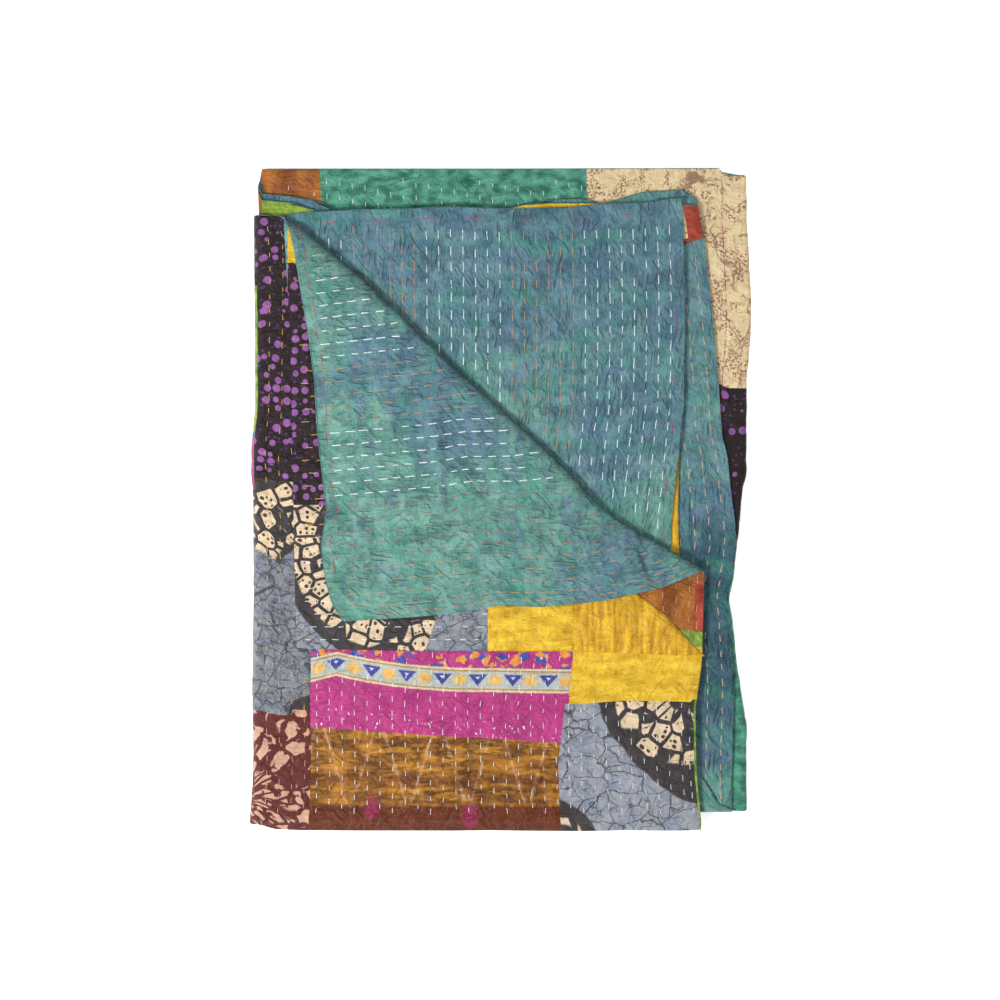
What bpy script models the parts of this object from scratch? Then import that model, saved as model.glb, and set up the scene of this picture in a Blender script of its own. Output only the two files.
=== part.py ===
"""A patchwork quilt, folded flat: a doubled strip folded in four, with one corner turned back."""

import math

import bmesh
import bpy
import numpy as np

MM = 0.001

# The cloth, all in millimetres
THICK = 2.0
HALF_THICK = THICK / 2
PLY_OFFSET = 1.5
STRIP_LENGTH = 2260.0
PLY_DEPTH = 745.0
BOTTOM_RUN = math.pi * PLY_OFFSET / 2

# The path of the strip: one row per run or fold, from the free end on top to the free end inside
# columns: name, start, end, height of the middle of the strip (for a fold, of the turn's centre), radius
SECTIONS = (
    ("top", 0.0, 539.0, 20.5, 0.0),
    ("outer_fold", 539.0, 567.3, 11.5, 9.0),
    ("lowest", 567.3, 1155.5, 2.5, 0.0),
    ("right_fold", 1155.5, 1164.9, 5.5, 3.0),
    ("base", 1164.9, 1753.1, 8.5, 0.0),
    ("inner_fold", 1753.1, 1762.5, 11.5, 3.0),
    ("inner", 1762.5, STRIP_LENGTH, 14.5, 0.0),
)

# Where the strip's edges lie. Rows along the path: place on the path, Y of the free hem of the
# patchwork ply, Y of the free hem of the inner ply, Y of the bottom fold
HEMS = (
    (0.0, 358.0, 368.0, -401.0),
    (22.0, 368.0, 366.0, -402.0),
    (52.0, 371.0, 362.0, -402.0),
    (94.0, 370.0, 361.0, -401.5),
    (114.0, 364.0, 359.5, -402.0),
    (142.0, 355.0, 357.0, -402.5),
    (220.0, 351.0, 355.0, -402.0),
    (256.0, 348.0, 356.0, -401.5),
    (300.0, 343.0, 357.5, -402.0),
    (360.0, 342.0, 355.0, -402.0),
    (415.0, 343.0, 354.0, -402.0),
    (488.0, 343.0, 350.0, -401.5),
    (519.0, 346.0, 346.0, -400.0),
    (539.0, 347.0, 345.0, -394.0),
    (567.3, 347.0, 347.0, -394.0),
    (600.0, 395.0, 392.0, -385.0),
    (700.0, 398.0, 396.0, -379.0),
    (1155.5, 397.0, 395.0, -379.0),
    (1164.9, 397.0, 395.0, -379.0),
    (1188.0, 397.0, 395.0, -378.0),
    (1190.0, 405.8, 396.0, -378.0),
    (1450.0, 405.0, 396.0, -379.0),
    (1753.1, 405.0, 398.0, -378.0),
    (1762.5, 374.0, 366.0, -378.0),
    (1800.0, 370.0, 362.0, -378.0),
    (1830.0, 364.0, 350.0, -378.0),
    (1845.0, 352.0, 350.0, -379.0),
    (2015.0, 352.0, 350.0, -379.0),
    (2070.0, 352.0, 361.5, -379.0),
    (2084.0, 366.0, 362.0, -379.0),
    (2135.0, 368.0, 362.0, -379.0),
    (2150.0, 361.0, 362.0, -379.0),
    (2200.0, 376.0, 361.0, -379.0),
    (2245.0, 379.0, 360.0, -379.0),
    (STRIP_LENGTH, 367.0, 360.0, -379.0),
)

# Left folds: Y and X of the centre that both left folds turn about
LEFT_CENTRE = (
    (-402.0, -296.5),
    (-380.0, -293.5),
    (-325.0, -290.5),
    (-230.0, -292.0),
    (-115.0, -290.5),
    (0.0, -291.0),
    (61.0, -293.5),
    (117.0, -288.5),
    (347.0, -290.0),
    (406.0, -292.0),
)

# Right fold: Y and X of its centre
RIGHT_CENTRE = (
    (-390.0, 297.0),
    (-280.0, 297.0),
    (-206.0, 286.0),
    (-140.0, 279.0),
    (-123.0, 275.0),
    (-99.0, 281.0),
    (-40.0, 287.0),
    (8.0, 291.0),
    (32.0, 296.5),
    (143.0, 297.0),
    (211.0, 302.5),
    (243.0, 302.5),
    (342.0, 297.0),
    (406.0, 297.0),
)

# Free end on top: Y, X of the patchwork ply, X of the inner ply
TOP_END = (
    (-402.0, 246.0, 246.0),
    (-332.0, 239.0, 236.0),
    (-253.0, 238.0, 222.0),
    (-195.0, 246.0, 212.0),
    (-83.0, 249.0, 208.0),
    (-33.0, 259.0, 208.0),
    (42.0, 261.0, 216.0),
    (116.0, 257.0, 224.0),
    (173.0, 247.0, 224.5),
    (211.0, 249.0, 225.5),
    (283.0, 243.0, 225.0),
    (335.0, 237.0, 223.0),
    (366.0, 234.0, 222.0),
)

# Free end inside: Y, X of the patchwork ply, X of the inner ply
INNER_END = (
    (-379.0, 283.0, 283.0),
    (-366.0, 283.0, 256.0),
    (-345.0, 282.5, 242.0),
    (-227.0, 286.0, 234.0),
    (-140.0, 281.0, 222.0),
    (-123.0, 278.0, 221.0),
    (-97.0, 282.5, 220.0),
    (-52.0, 289.0, 218.0),
    (-25.0, 287.0, 217.0),
    (12.0, 282.0, 217.5),
    (53.0, 278.0, 218.5),
    (80.0, 271.0, 219.0),
    (143.0, 267.0, 221.0),
    (211.0, 261.0, 222.0),
    (295.0, 252.0, 222.0),
    (314.0, 250.0, 222.0),
    (319.0, 249.5, 248.0),
    (367.0, 240.0, 240.5),
)

# The turned corner: its fold starts at the left of the top hem and runs down to the right
FOLD_START = (-267.3, 342.2)
FOLD_ANGLE = math.radians(-40.03)
FOLD_RADIUS = 3.0
# Distance along that fold, and how far the fold lies above (+) or below (-) a straight line
FOLD_SAG = (
    (0.0, 0.0),
    (25.0, 5.0),
    (131.0, 5.0),
    (197.0, -0.5),
    (281.0, -6.0),
    (379.0, -9.5),
    (421.0, -10.5),
    (465.0, -14.0),
    (512.0, -20.0),
    (552.0, -20.0),
    (595.0, -12.0),
    (635.0, -5.0),
    (668.0, 0.0),
)
SAG_REACH = 110.0

# The layer caught under the turned corner: a raised part of the top face with these straight borders
UNDER_STEP = 3.0
UNDER_BORDERS = (
    # X and Y of one point of the border, X and Y of another, the raised side being left of the way
    (-259.0, 342.0, -248.0, -182.5),
    (-248.0, -182.5, 247.0, -188.5),
    (247.0, -190.5, -265.0, 345.0),
)
UNDER_WALL = 0.8

# Quilting rows: their spacing and depth, and a row to count from on each face: X on the top strip,
# Y on the raised part, and place on the path on the inner ply
ROW_PITCH = 15.6
ROW_DEPTH = 0.45
ROW_X = 245.0
ROW_Y = -170.0
ROW_PLACE = 20.0
# The raised part shows its rows left of this X and below this Y, and the turned corner hides the rest
UNDER_ROWS_X = -218.0
UNDER_ROWS_Y = -118.0
# The inner ply laid out like the top ply: X of its free end and Y of its bottom fold
INNER_START_X = 247.0
INNER_BOTTOM_Y = -401.0
# How far past the fold of the turned corner the roll ends, and how far short of it inner rows start
ROLL_END = 9.0
INNER_ROWS_REACH = 25.0

# Soft rise and fall of the pile, which grows with height from nothing at the table
WAVE_HEIGHT = 1.3
PILE_HEIGHT = 29.0
# The top strip is longer at the bottom than the layers under it, and sinks there
SINK_START = -387.0
SINK_RUN = 17.0
SINK_DEPTH = 7.5

# The middle of the footprint in the coordinates of the tables above, moved to the origin at the end
MIDDLE = (0.197, 0.544)

APART = 10_000.0  # while it is scored, the top ply is kept this far from the rest


def column(rows, place, pick):
    """The value of one column of a table, read at a place by straight lines between its rows."""
    return float(np.interp(place, [row[0] for row in rows], [row[pick] for row in rows]))


def section_of(u):
    """The run or fold of the path that a place belongs to, and how far along it is, 0 to 1."""
    for name, start, end, height, radius in SECTIONS:
        if u <= end + 1e-6:
            return name, min(1.0, max(0.0, (u - start) / (end - start))), height, radius
    return SECTIONS[-1][0], 1.0, SECTIONS[-1][3], 0.0


def path_point(u, y, inner):
    """X and Z of the strip's middle at a place, and the direction in X and Z of its patchwork side."""
    name, share, height, radius = section_of(u)
    left = column(LEFT_CENTRE, y, 1)
    right = column(RIGHT_CENTRE, y, 1)
    turn = math.pi * share
    if name == "top":
        end = column(TOP_END, y, 2 if inner else 1)
        return end + share * (left - end), height, 0.0, 1.0
    if name == "outer_fold":
        dx, dz = -math.sin(turn), math.cos(turn)
        return left + radius * dx, height + radius * dz, dx, dz
    if name == "lowest":
        return left + share * (right - left), height, 0.0, -1.0
    if name == "right_fold":
        dx, dz = math.sin(turn), -math.cos(turn)
        return right + radius * dx, height + radius * dz, dx, dz
    if name == "base":
        return right + share * (left - right), height, 0.0, 1.0
    if name == "inner_fold":
        dx, dz = -math.sin(turn), -math.cos(turn)
        return left + radius * dx, height + radius * dz, -dx, -dz
    end = column(INNER_END, y, 2 if inner else 1)
    return left + share * (end - left), height, 0.0, -1.0


def strip_place(u, v, side):
    """Where a point of the doubled strip lies. v is 0 at the bottom fold and grows towards the hems;
    side is +1 on the patchwork face and -1 on the backing."""
    offset = PLY_OFFSET + side * HALF_THICK
    inner = v < 0
    bottom = column(HEMS, u, 3)
    if abs(v) <= BOTTOM_RUN:
        turn = (1.0 - v / BOTTOM_RUN) * math.pi / 2
        y = bottom - offset * math.sin(turn)
        across = offset * math.cos(turn)
        line = bottom
    else:
        top = column(HEMS, u, 2 if inner else 1)
        line = bottom + (abs(v) - BOTTOM_RUN) / (PLY_DEPTH - BOTTOM_RUN) * (top - bottom)
        y = line
        across = -offset if inner else offset
    x, z, dx, dz = path_point(u, line, inner)
    return x + across * dx, y, z + across * dz


def turned(x, y, side):
    """The top ply with its corner turned back: flat up to the fold, then round it, then upside down."""
    along = (math.cos(FOLD_ANGLE), math.sin(FOLD_ANGLE))
    over = (-along[1], along[0])
    s = (x - FOLD_START[0]) * along[0] + (y - FOLD_START[1]) * along[1]
    d = (x - FOLD_START[0]) * over[0] + (y - FOLD_START[1]) * over[1]
    middle = SECTIONS[0][3] + PLY_OFFSET
    radius = FOLD_RADIUS - side * HALF_THICK
    run = math.pi * FOLD_RADIUS
    if d <= 0:
        z = middle + side * HALF_THICK
        if side > 0 and is_under(x, y):
            z += UNDER_STEP
    elif d < run:
        z = middle + FOLD_RADIUS - radius * math.cos(d / FOLD_RADIUS)
        d = radius * math.sin(d / FOLD_RADIUS)
    else:
        z = middle + FOLD_RADIUS + radius
        d = run - d
    d += column(FOLD_SAG, s, 1) * math.exp(-((d / SAG_REACH) ** 2))
    return (
        FOLD_START[0] + s * along[0] + d * over[0],
        FOLD_START[1] + s * along[1] + d * over[1],
        z,
    )


def border_distance(border, x, y):
    """Distance to the left of a border's way."""
    length = math.hypot(border[2] - border[0], border[3] - border[1])
    ux, uy = (border[2] - border[0]) / length, (border[3] - border[1]) / length
    return ux * (y - border[1]) - uy * (x - border[0])


def is_under(x, y):
    """True inside the raised borders."""
    return all(border_distance(border, x, y) > UNDER_WALL - 0.05 for border in UNDER_BORDERS)


def settle(x, y, z):
    """The pile's soft waves, and the sunken bottom edge of the top strip."""
    wave = math.sin(x / 61.0 + 0.7) * math.cos(y / 83.0) + 0.6 * math.sin((x - 1.6 * y) / 97.0)
    z += WAVE_HEIGHT * wave * min(1.0, z / PILE_HEIGHT) * (z / PILE_HEIGHT)
    sink = min(1.0, max(0.0, (SINK_START - y) / SINK_RUN))
    share = min(1.0, max(0.0, (z - 5.5) / 12.0))
    z -= SINK_DEPTH * sink * sink * (3 - 2 * sink) * share
    return x, y, z


def cut(bm, faces, point, normal):
    """Scores the given faces where a plane crosses them."""
    parts = set(faces)
    for face in faces:
        parts.update(face.edges)
        parts.update(face.verts)
    bmesh.ops.bisect_plane(bm, geom=list(parts), plane_co=point, plane_no=normal, dist=1e-4)


def crossing(faces, point, normal):
    """The faces that have corners on both sides of a plane."""
    found = []
    for face in faces:
        ahead = [
            (v.co.x - point[0]) * normal[0] + (v.co.y - point[1]) * normal[1] for v in face.verts
        ]
        if min(ahead) < -1e-3 and max(ahead) > 1e-3:
            found.append(face)
    return found


def flat_slab():
    """The cloth laid flat: X is the place on the path, Y the depth on either side of the bottom fold."""
    bm = bmesh.new()
    bmesh.ops.create_cube(bm, size=1.0)
    for vert in bm.verts:
        vert.co.x = (vert.co.x + 0.5) * STRIP_LENGTH
        vert.co.y = vert.co.y * 2 * PLY_DEPTH
        vert.co.z = vert.co.z * 2
    lines = set()
    for row in HEMS[1:-1]:
        lines.add(row[0])
    for name, start, end, _, radius in SECTIONS:
        lines.add(end)
        if radius:
            steps = 8 if name == "outer_fold" else 6
            lines.update(start + (end - start) * k / steps for k in range(1, steps))
    lines.update((185.0, 460.0, 860.0, 1310.0, 1600.0, 1930.0, 2236.0))
    lines.discard(STRIP_LENGTH)
    for u in sorted(lines):
        cut(bm, bm.faces, (u, 0, 0), (1, 0, 0))
    depths = [BOTTOM_RUN * math.cos(math.pi * k / 5) for k in range(6)]
    depths += [s * PLY_DEPTH * k / 12 for k in range(1, 12) for s in (-1, 1)]
    for v in sorted(depths):
        cut(bm, bm.faces, (0, v, 0), (0, 1, 0))
    # the inner ply's free end steps in near its hem and near the bottom fold
    for v in (-704.0, -699.0, -36.0, -15.0):
        last = [f for f in bm.faces if min(c.co.x for c in f.verts) > 2184.0]
        cut(bm, last, (0, v, 0), (0, 1, 0))
    return bm


def top_ply_apart(bm):
    """Moves the top ply to its laid-out place, far from the rest, so that it can be scored there."""
    for vert in bm.verts:
        if vert.co.x <= SECTIONS[0][2] + 1e-3 and vert.co.y >= BOTTOM_RUN - 1e-3:
            x, y, _ = strip_place(vert.co.x, vert.co.y, vert.co.z)
            vert.co.x = x + APART
            vert.co.y = y


def apart_faces(bm, side):
    """The faces of the top ply on one side of the cloth."""
    return [
        f
        for f in bm.faces
        if all(v.co.x > APART / 2 and v.co.z * side > 0.5 for v in f.verts)
    ]


def score_corner(bm):
    """Lines on both faces for the turned corner's roll, and on the patchwork face for the raised part."""
    over = (-math.sin(FOLD_ANGLE), math.cos(FOLD_ANGLE), 0)
    for k in range(7):
        reach = math.pi * FOLD_RADIUS * k / 6
        point = (
            APART + FOLD_START[0] + over[0] * reach,
            FOLD_START[1] + over[1] * reach,
            0,
        )
        whole = [f for f in bm.faces if all(v.co.x > APART / 2 for v in f.verts)]
        cut(bm, crossing(whole, point, over), point, over)
    for border in UNDER_BORDERS:
        length = math.hypot(border[2] - border[0], border[3] - border[1])
        normal = (-(border[3] - border[1]) / length, (border[2] - border[0]) / length, 0)
        for inset in (0.0, UNDER_WALL):
            point = (
                APART + border[0] + normal[0] * inset,
                border[1] + normal[1] * inset,
                0,
            )
            near = []
            for face in crossing(apart_faces(bm, 1), point, normal):
                middle = face.calc_center_median()
                x, y = middle.x - APART, middle.y
                if min(border_distance(b, x, y) for b in UNDER_BORDERS) > -60.0:
                    near.append(face)
            cut(bm, near, point, normal)


def turned_side(x, y):
    """Distance of a laid-out point from the fold of the turned corner, positive on the turned part."""
    return -(x - FOLD_START[0]) * math.sin(FOLD_ANGLE) + (y - FOLD_START[1]) * math.cos(FOLD_ANGLE)


def under_rows_show(x, y):
    """True on the borders of the raised part that the turned corner leaves in view."""
    return is_under(x, y) and (x < UNDER_ROWS_X or y < UNDER_ROWS_Y)


def inner_rows_show(u, v):
    """True where the turned corner leaves the inner ply in view."""
    y = INNER_BOTTOM_Y + abs(v) - BOTTOM_RUN
    return turned_side(INNER_START_X - u, y) > -INNER_ROWS_REACH


def score_rows(bm):
    """Quilting rows on the faces that show: two lines a row, one in the furrow and one between rows."""
    furrows = [ROW_X - ROW_PITCH * k for k in range(34)]
    middles = [x - ROW_PITCH / 2 for x in furrows]
    for x in sorted(furrows + middles):
        point, normal = (APART + x, 0, 0), (1, 0, 0)
        chosen = []
        for face in crossing(apart_faces(bm, 1), point, normal):
            middle = face.calc_center_median()
            mx, my = middle.x - APART, middle.y
            if turned_side(mx, my) < 0 and not is_under(mx, my):
                chosen.append(face)
        for face in crossing(apart_faces(bm, -1), point, normal):
            middle = face.calc_center_median()
            if turned_side(middle.x - APART, middle.y) > ROLL_END:
                chosen.append(face)
        cut(bm, chosen, point, normal)
    for y in [ROW_Y + ROW_PITCH / 2 * k for k in range(66)]:
        point, normal = (0, y, 0), (0, 1, 0)
        chosen = []
        for face in crossing(apart_faces(bm, 1), point, normal):
            middle = face.calc_center_median()
            if under_rows_show(middle.x - APART, middle.y):
                chosen.append(face)
        cut(bm, chosen, point, normal)
    for k in range(62):
        u = ROW_PLACE + ROW_PITCH / 2 * k
        point, normal = (u, 0, 0), (1, 0, 0)
        chosen = []
        for face in crossing(bm.faces, point, normal):
            middle = face.calc_center_median()
            backing = all(v.co.z < -0.5 and v.co.y < 0 for v in face.verts)
            if backing and middle.x < SECTIONS[0][2] and inner_rows_show(middle.x, middle.y):
                chosen.append(face)
        cut(bm, chosen, point, normal)


def furrow(place, start):
    """Depth of a quilting furrow at a place, nothing midway between rows."""
    phase = ((place - start) / ROW_PITCH) % 1.0
    return ROW_DEPTH * max(0.0, 1.0 - 2.0 * min(phase, 1.0 - phase))


def fold_up(bm):
    """Moves every point of the scored cloth to its folded place."""
    for vert in bm.verts:
        side = 1.0 if vert.co.z > 0 else -1.0
        if vert.co.x > APART / 2:
            x, y = vert.co.x - APART, vert.co.y
            if side > 0 and is_under(x, y):
                depth = furrow(y, ROW_Y) if under_rows_show(x, y) else 0.0
                place = turned(x, y, 1.0)
                place = (place[0], place[1], place[2] - depth)
            elif side > 0 and turned_side(x, y) < 0:
                place = turned(x, y, 1.0 - furrow(x, ROW_X))
            elif side < 0 and turned_side(x, y) > ROLL_END:
                place = turned(x, y, -1.0 + furrow(x, ROW_X))
            else:
                place = turned(x, y, side)
        else:
            u, v = vert.co.x, vert.co.y
            if side < 0 and v < -20.0 and u < 530.0 and inner_rows_show(u, v):
                side += furrow(u, ROW_PLACE)
            place = strip_place(u, v, side)
        x, y, z = settle(*place)
        vert.co = ((x - MIDDLE[0]) * MM, (y - MIDDLE[1]) * MM, z * MM)


def cloth_material(name, colour, roughness):
    """A plain fabric material."""
    material = bpy.data.materials.new(name)
    material.use_nodes = True
    shader = material.node_tree.nodes["Principled BSDF"]
    shader.inputs["Base Color"].default_value = (*colour, 1.0)
    shader.inputs["Roughness"].default_value = roughness
    material.diffuse_color = (*colour, 1.0)
    return material


def build_quilt(collection):
    """The quilt: one closed piece of cloth with true folds."""
    bm = flat_slab()
    top_ply_apart(bm)
    score_corner(bm)
    score_rows(bm)
    fold_up(bm)
    bmesh.ops.triangulate(bm, faces=bm.faces, quad_method="BEAUTY", ngon_method="BEAUTY")
    bmesh.ops.recalc_face_normals(bm, faces=bm.faces)
    mesh = bpy.data.meshes.new("quilt")
    bm.to_mesh(mesh)
    bm.free()
    mesh.materials.append(cloth_material("quilted_silk", (0.16, 0.38, 0.36), 0.6))
    quilt = bpy.data.objects.new("quilt", mesh)
    collection.objects.link(quilt)
    print("triangles", len(mesh.polygons))


for thing in list(bpy.data.objects):
    bpy.data.objects.remove(thing)
group = bpy.data.collections.new("patchwork_quilt")
bpy.context.scene.collection.children.link(group)
build_quilt(group)
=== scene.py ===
"""The looks of a folded patchwork quilt: patchwork face, dyed backing, hem, caught layer and stitches."""

import math

import bpy
import numpy as np
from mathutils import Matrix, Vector


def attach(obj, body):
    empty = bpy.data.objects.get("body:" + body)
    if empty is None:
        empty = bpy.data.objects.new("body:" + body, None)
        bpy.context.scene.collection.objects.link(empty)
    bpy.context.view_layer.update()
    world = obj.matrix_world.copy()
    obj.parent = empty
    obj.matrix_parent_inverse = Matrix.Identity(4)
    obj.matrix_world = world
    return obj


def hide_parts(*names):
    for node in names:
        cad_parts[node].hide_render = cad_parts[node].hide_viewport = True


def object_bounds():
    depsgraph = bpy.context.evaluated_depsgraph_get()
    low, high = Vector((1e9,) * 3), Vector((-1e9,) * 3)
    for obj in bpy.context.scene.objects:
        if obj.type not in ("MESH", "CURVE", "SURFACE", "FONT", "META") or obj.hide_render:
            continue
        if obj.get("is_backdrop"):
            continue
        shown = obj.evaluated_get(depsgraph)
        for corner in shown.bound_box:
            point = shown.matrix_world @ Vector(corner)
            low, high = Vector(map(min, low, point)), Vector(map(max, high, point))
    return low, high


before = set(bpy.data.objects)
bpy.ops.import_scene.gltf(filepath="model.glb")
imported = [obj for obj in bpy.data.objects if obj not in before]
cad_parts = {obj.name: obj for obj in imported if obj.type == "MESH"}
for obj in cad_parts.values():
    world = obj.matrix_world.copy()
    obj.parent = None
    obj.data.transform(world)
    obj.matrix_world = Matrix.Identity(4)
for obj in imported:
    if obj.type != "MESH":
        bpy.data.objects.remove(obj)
cad_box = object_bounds()

# Where the cloth lies. The quilt is doubled along its length with the backing inside, and the doubled strip is
# folded in four; one corner of the top ply is turned back. These tables hold the same fold as the CAD solid, in
# millimetres: u is the place along the strip, v the depth from the bottom fold (negative on the inner ply).
PLY_OFFSET = 1.5
STRIP_LENGTH = 2260.0
PLY_DEPTH = 745.0
BOTTOM_RUN = math.pi * PLY_OFFSET / 2
MIDDLE = (0.197, 0.544)
TOP_MIDDLE = 22.0

# start, end, height (of the strip's middle, or of a fold's centre), radius
TOP = (0.0, 539.0, 20.5, 0.0)
OUTER_FOLD = (539.0, 567.3, 11.5, 9.0)
LOWEST = (567.3, 1155.5, 2.5, 0.0)
RIGHT_FOLD = (1155.5, 1164.9, 5.5, 3.0)
BASE = (1164.9, 1753.1, 8.5, 0.0)
INNER_FOLD = (1753.1, 1762.5, 11.5, 3.0)
INNER = (1762.5, STRIP_LENGTH, 14.5, 0.0)
SECTIONS = (TOP, OUTER_FOLD, LOWEST, RIGHT_FOLD, BASE, INNER_FOLD, INNER)

# place along the strip, Y of the hem of the patchwork ply, Y of the hem of the inner ply, Y of the bottom fold
HEMS = np.array((
    (0.0, 358.0, 368.0, -401.0), (22.0, 368.0, 366.0, -402.0), (52.0, 371.0, 362.0, -402.0),
    (94.0, 370.0, 361.0, -401.5), (114.0, 364.0, 359.5, -402.0), (142.0, 355.0, 357.0, -402.5),
    (220.0, 351.0, 355.0, -402.0), (256.0, 348.0, 356.0, -401.5), (300.0, 343.0, 357.5, -402.0),
    (360.0, 342.0, 355.0, -402.0), (415.0, 343.0, 354.0, -402.0), (488.0, 343.0, 350.0, -401.5),
    (519.0, 346.0, 346.0, -400.0), (539.0, 347.0, 345.0, -394.0), (567.3, 347.0, 347.0, -394.0),
    (600.0, 395.0, 392.0, -385.0), (700.0, 398.0, 396.0, -379.0), (1155.5, 397.0, 395.0, -379.0),
    (1164.9, 397.0, 395.0, -379.0), (1188.0, 397.0, 395.0, -378.0), (1190.0, 405.8, 396.0, -378.0),
    (1450.0, 405.0, 396.0, -379.0), (1753.1, 405.0, 398.0, -378.0), (1762.5, 374.0, 366.0, -378.0),
    (1800.0, 370.0, 362.0, -378.0), (1830.0, 364.0, 350.0, -378.0), (1845.0, 352.0, 350.0, -379.0),
    (2015.0, 352.0, 350.0, -379.0), (2070.0, 352.0, 361.5, -379.0), (2084.0, 366.0, 362.0, -379.0),
    (2135.0, 368.0, 362.0, -379.0), (2150.0, 361.0, 362.0, -379.0), (2200.0, 376.0, 361.0, -379.0),
    (2245.0, 379.0, 360.0, -379.0), (STRIP_LENGTH, 367.0, 360.0, -379.0),
))
# Y, X of the centre that the left folds turn about
LEFT_CENTRE = np.array((
    (-402.0, -296.5), (-380.0, -293.5), (-325.0, -290.5), (-230.0, -292.0), (-115.0, -290.5),
    (0.0, -291.0), (61.0, -293.5), (117.0, -288.5), (347.0, -290.0), (406.0, -292.0),
))
# Y, X of the right fold's centre
RIGHT_CENTRE = np.array((
    (-390.0, 297.0), (-280.0, 297.0), (-206.0, 286.0), (-140.0, 279.0), (-123.0, 275.0), (-99.0, 281.0),
    (-40.0, 287.0), (8.0, 291.0), (32.0, 296.5), (143.0, 297.0), (211.0, 302.5), (243.0, 302.5),
    (342.0, 297.0), (406.0, 297.0),
))
# Y, X of the free end on top: patchwork ply, inner ply
TOP_END = np.array((
    (-402.0, 246.0, 246.0), (-332.0, 239.0, 236.0), (-253.0, 238.0, 222.0), (-195.0, 246.0, 212.0),
    (-83.0, 249.0, 208.0), (-33.0, 259.0, 208.0), (42.0, 261.0, 216.0), (116.0, 257.0, 224.0),
    (173.0, 247.0, 224.5), (211.0, 249.0, 225.5), (283.0, 243.0, 225.0), (335.0, 237.0, 223.0),
    (366.0, 234.0, 222.0),
))
# Y, X of the free end inside: patchwork ply, inner ply
INNER_END = np.array((
    (-379.0, 283.0, 283.0), (-366.0, 283.0, 256.0), (-345.0, 282.5, 242.0), (-227.0, 286.0, 234.0),
    (-140.0, 281.0, 222.0), (-123.0, 278.0, 221.0), (-97.0, 282.5, 220.0), (-52.0, 289.0, 218.0),
    (-25.0, 287.0, 217.0), (12.0, 282.0, 217.5), (53.0, 278.0, 218.5), (80.0, 271.0, 219.0),
    (143.0, 267.0, 221.0), (211.0, 261.0, 222.0), (295.0, 252.0, 222.0), (314.0, 250.0, 222.0),
    (319.0, 249.5, 248.0), (367.0, 240.0, 240.5),
))
# the turned corner's fold: distance along it, and how far it lies off a straight line
FOLD_START = np.array((-267.3, 342.2))
FOLD_ANGLE = math.radians(-40.03)
FOLD_ALONG = np.array((math.cos(FOLD_ANGLE), math.sin(FOLD_ANGLE)))
FOLD_OVER = np.array((-math.sin(FOLD_ANGLE), math.cos(FOLD_ANGLE)))
FOLD_RADIUS = 3.0
FOLD_SAG = np.array((
    (0.0, 0.0), (25.0, 5.0), (131.0, 5.0), (197.0, -0.5), (281.0, -6.0), (379.0, -9.5), (421.0, -10.5),
    (465.0, -14.0), (512.0, -20.0), (552.0, -20.0), (595.0, -12.0), (635.0, -5.0), (668.0, 0.0),
))
ROW_PITCH = 15.6
STITCH_PERIOD = 17.0
# the deepest that a crease may go, in millimetres: deeper ones would pass through the cloth behind
DEEPEST_CREASE = -1.2
# where the patterns' own coordinates start, in metres, so that on the top ply they are close to X and Y
PATTERN_X, PATTERN_Y = 0.247, -0.4035


def column(rows, place, pick=1):
    """One column of a table read at many places: straight lines between the rows, then averaged over 12 mm
    so that no corner shows, except at the hems and the stepped end of the inner ply."""
    spread = (0.0,) if rows is HEMS or (rows is INNER_END and pick == 2) else (-6.0, 0.0, 6.0)
    return sum(np.interp(place + s, rows[:, 0], rows[:, pick]) for s in spread) / len(spread)


def path_point(u, y, inner):
    """X and Z of the strip's middle, and the direction (X, Z) towards its patchwork side: straight runs between
    the fold centres, half circles round them."""
    left, right = column(LEFT_CENTRE, y), column(RIGHT_CENTRE, y)
    top_end = np.where(inner, column(TOP_END, y, 2), column(TOP_END, y, 1))
    inner_end = np.where(inner, column(INNER_END, y, 2), column(INNER_END, y, 1))
    x, z, dx, dz = (np.zeros_like(u) for _ in range(4))
    for section in SECTIONS:
        start, end, height, radius = section
        here = ((u >= start) | (section is TOP)) & ((u < end) | (section is INNER))
        share = np.clip((u - start) / (end - start), 0, 1)
        turn = math.pi * share
        if section is TOP:
            values = top_end + share * (left - top_end), height, 0, 1
        elif section is OUTER_FOLD:
            values = left - radius * np.sin(turn), height + radius * np.cos(turn), -np.sin(turn), np.cos(turn)
        elif section is LOWEST:
            values = left + share * (right - left), height, 0, -1
        elif section is RIGHT_FOLD:
            values = right + radius * np.sin(turn), height - radius * np.cos(turn), np.sin(turn), -np.cos(turn)
        elif section is BASE:
            values = right + share * (left - right), height, 0, 1
        elif section is INNER_FOLD:
            values = left - radius * np.sin(turn), height - radius * np.cos(turn), np.sin(turn), np.cos(turn)
        else:
            values = left + share * (inner_end - left), height, 0, -1
        for target, value in zip((x, z, dx, dz), values):
            target[...] = np.where(here, value, target)
    return x, z, dx, dz


def fold_distance(x, y):
    """Distance of a laid-out point of the top ply from the corner's fold, positive on the turned part."""
    return (x - FOLD_START[0]) * FOLD_OVER[0] + (y - FOLD_START[1]) * FOLD_OVER[1]


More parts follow.
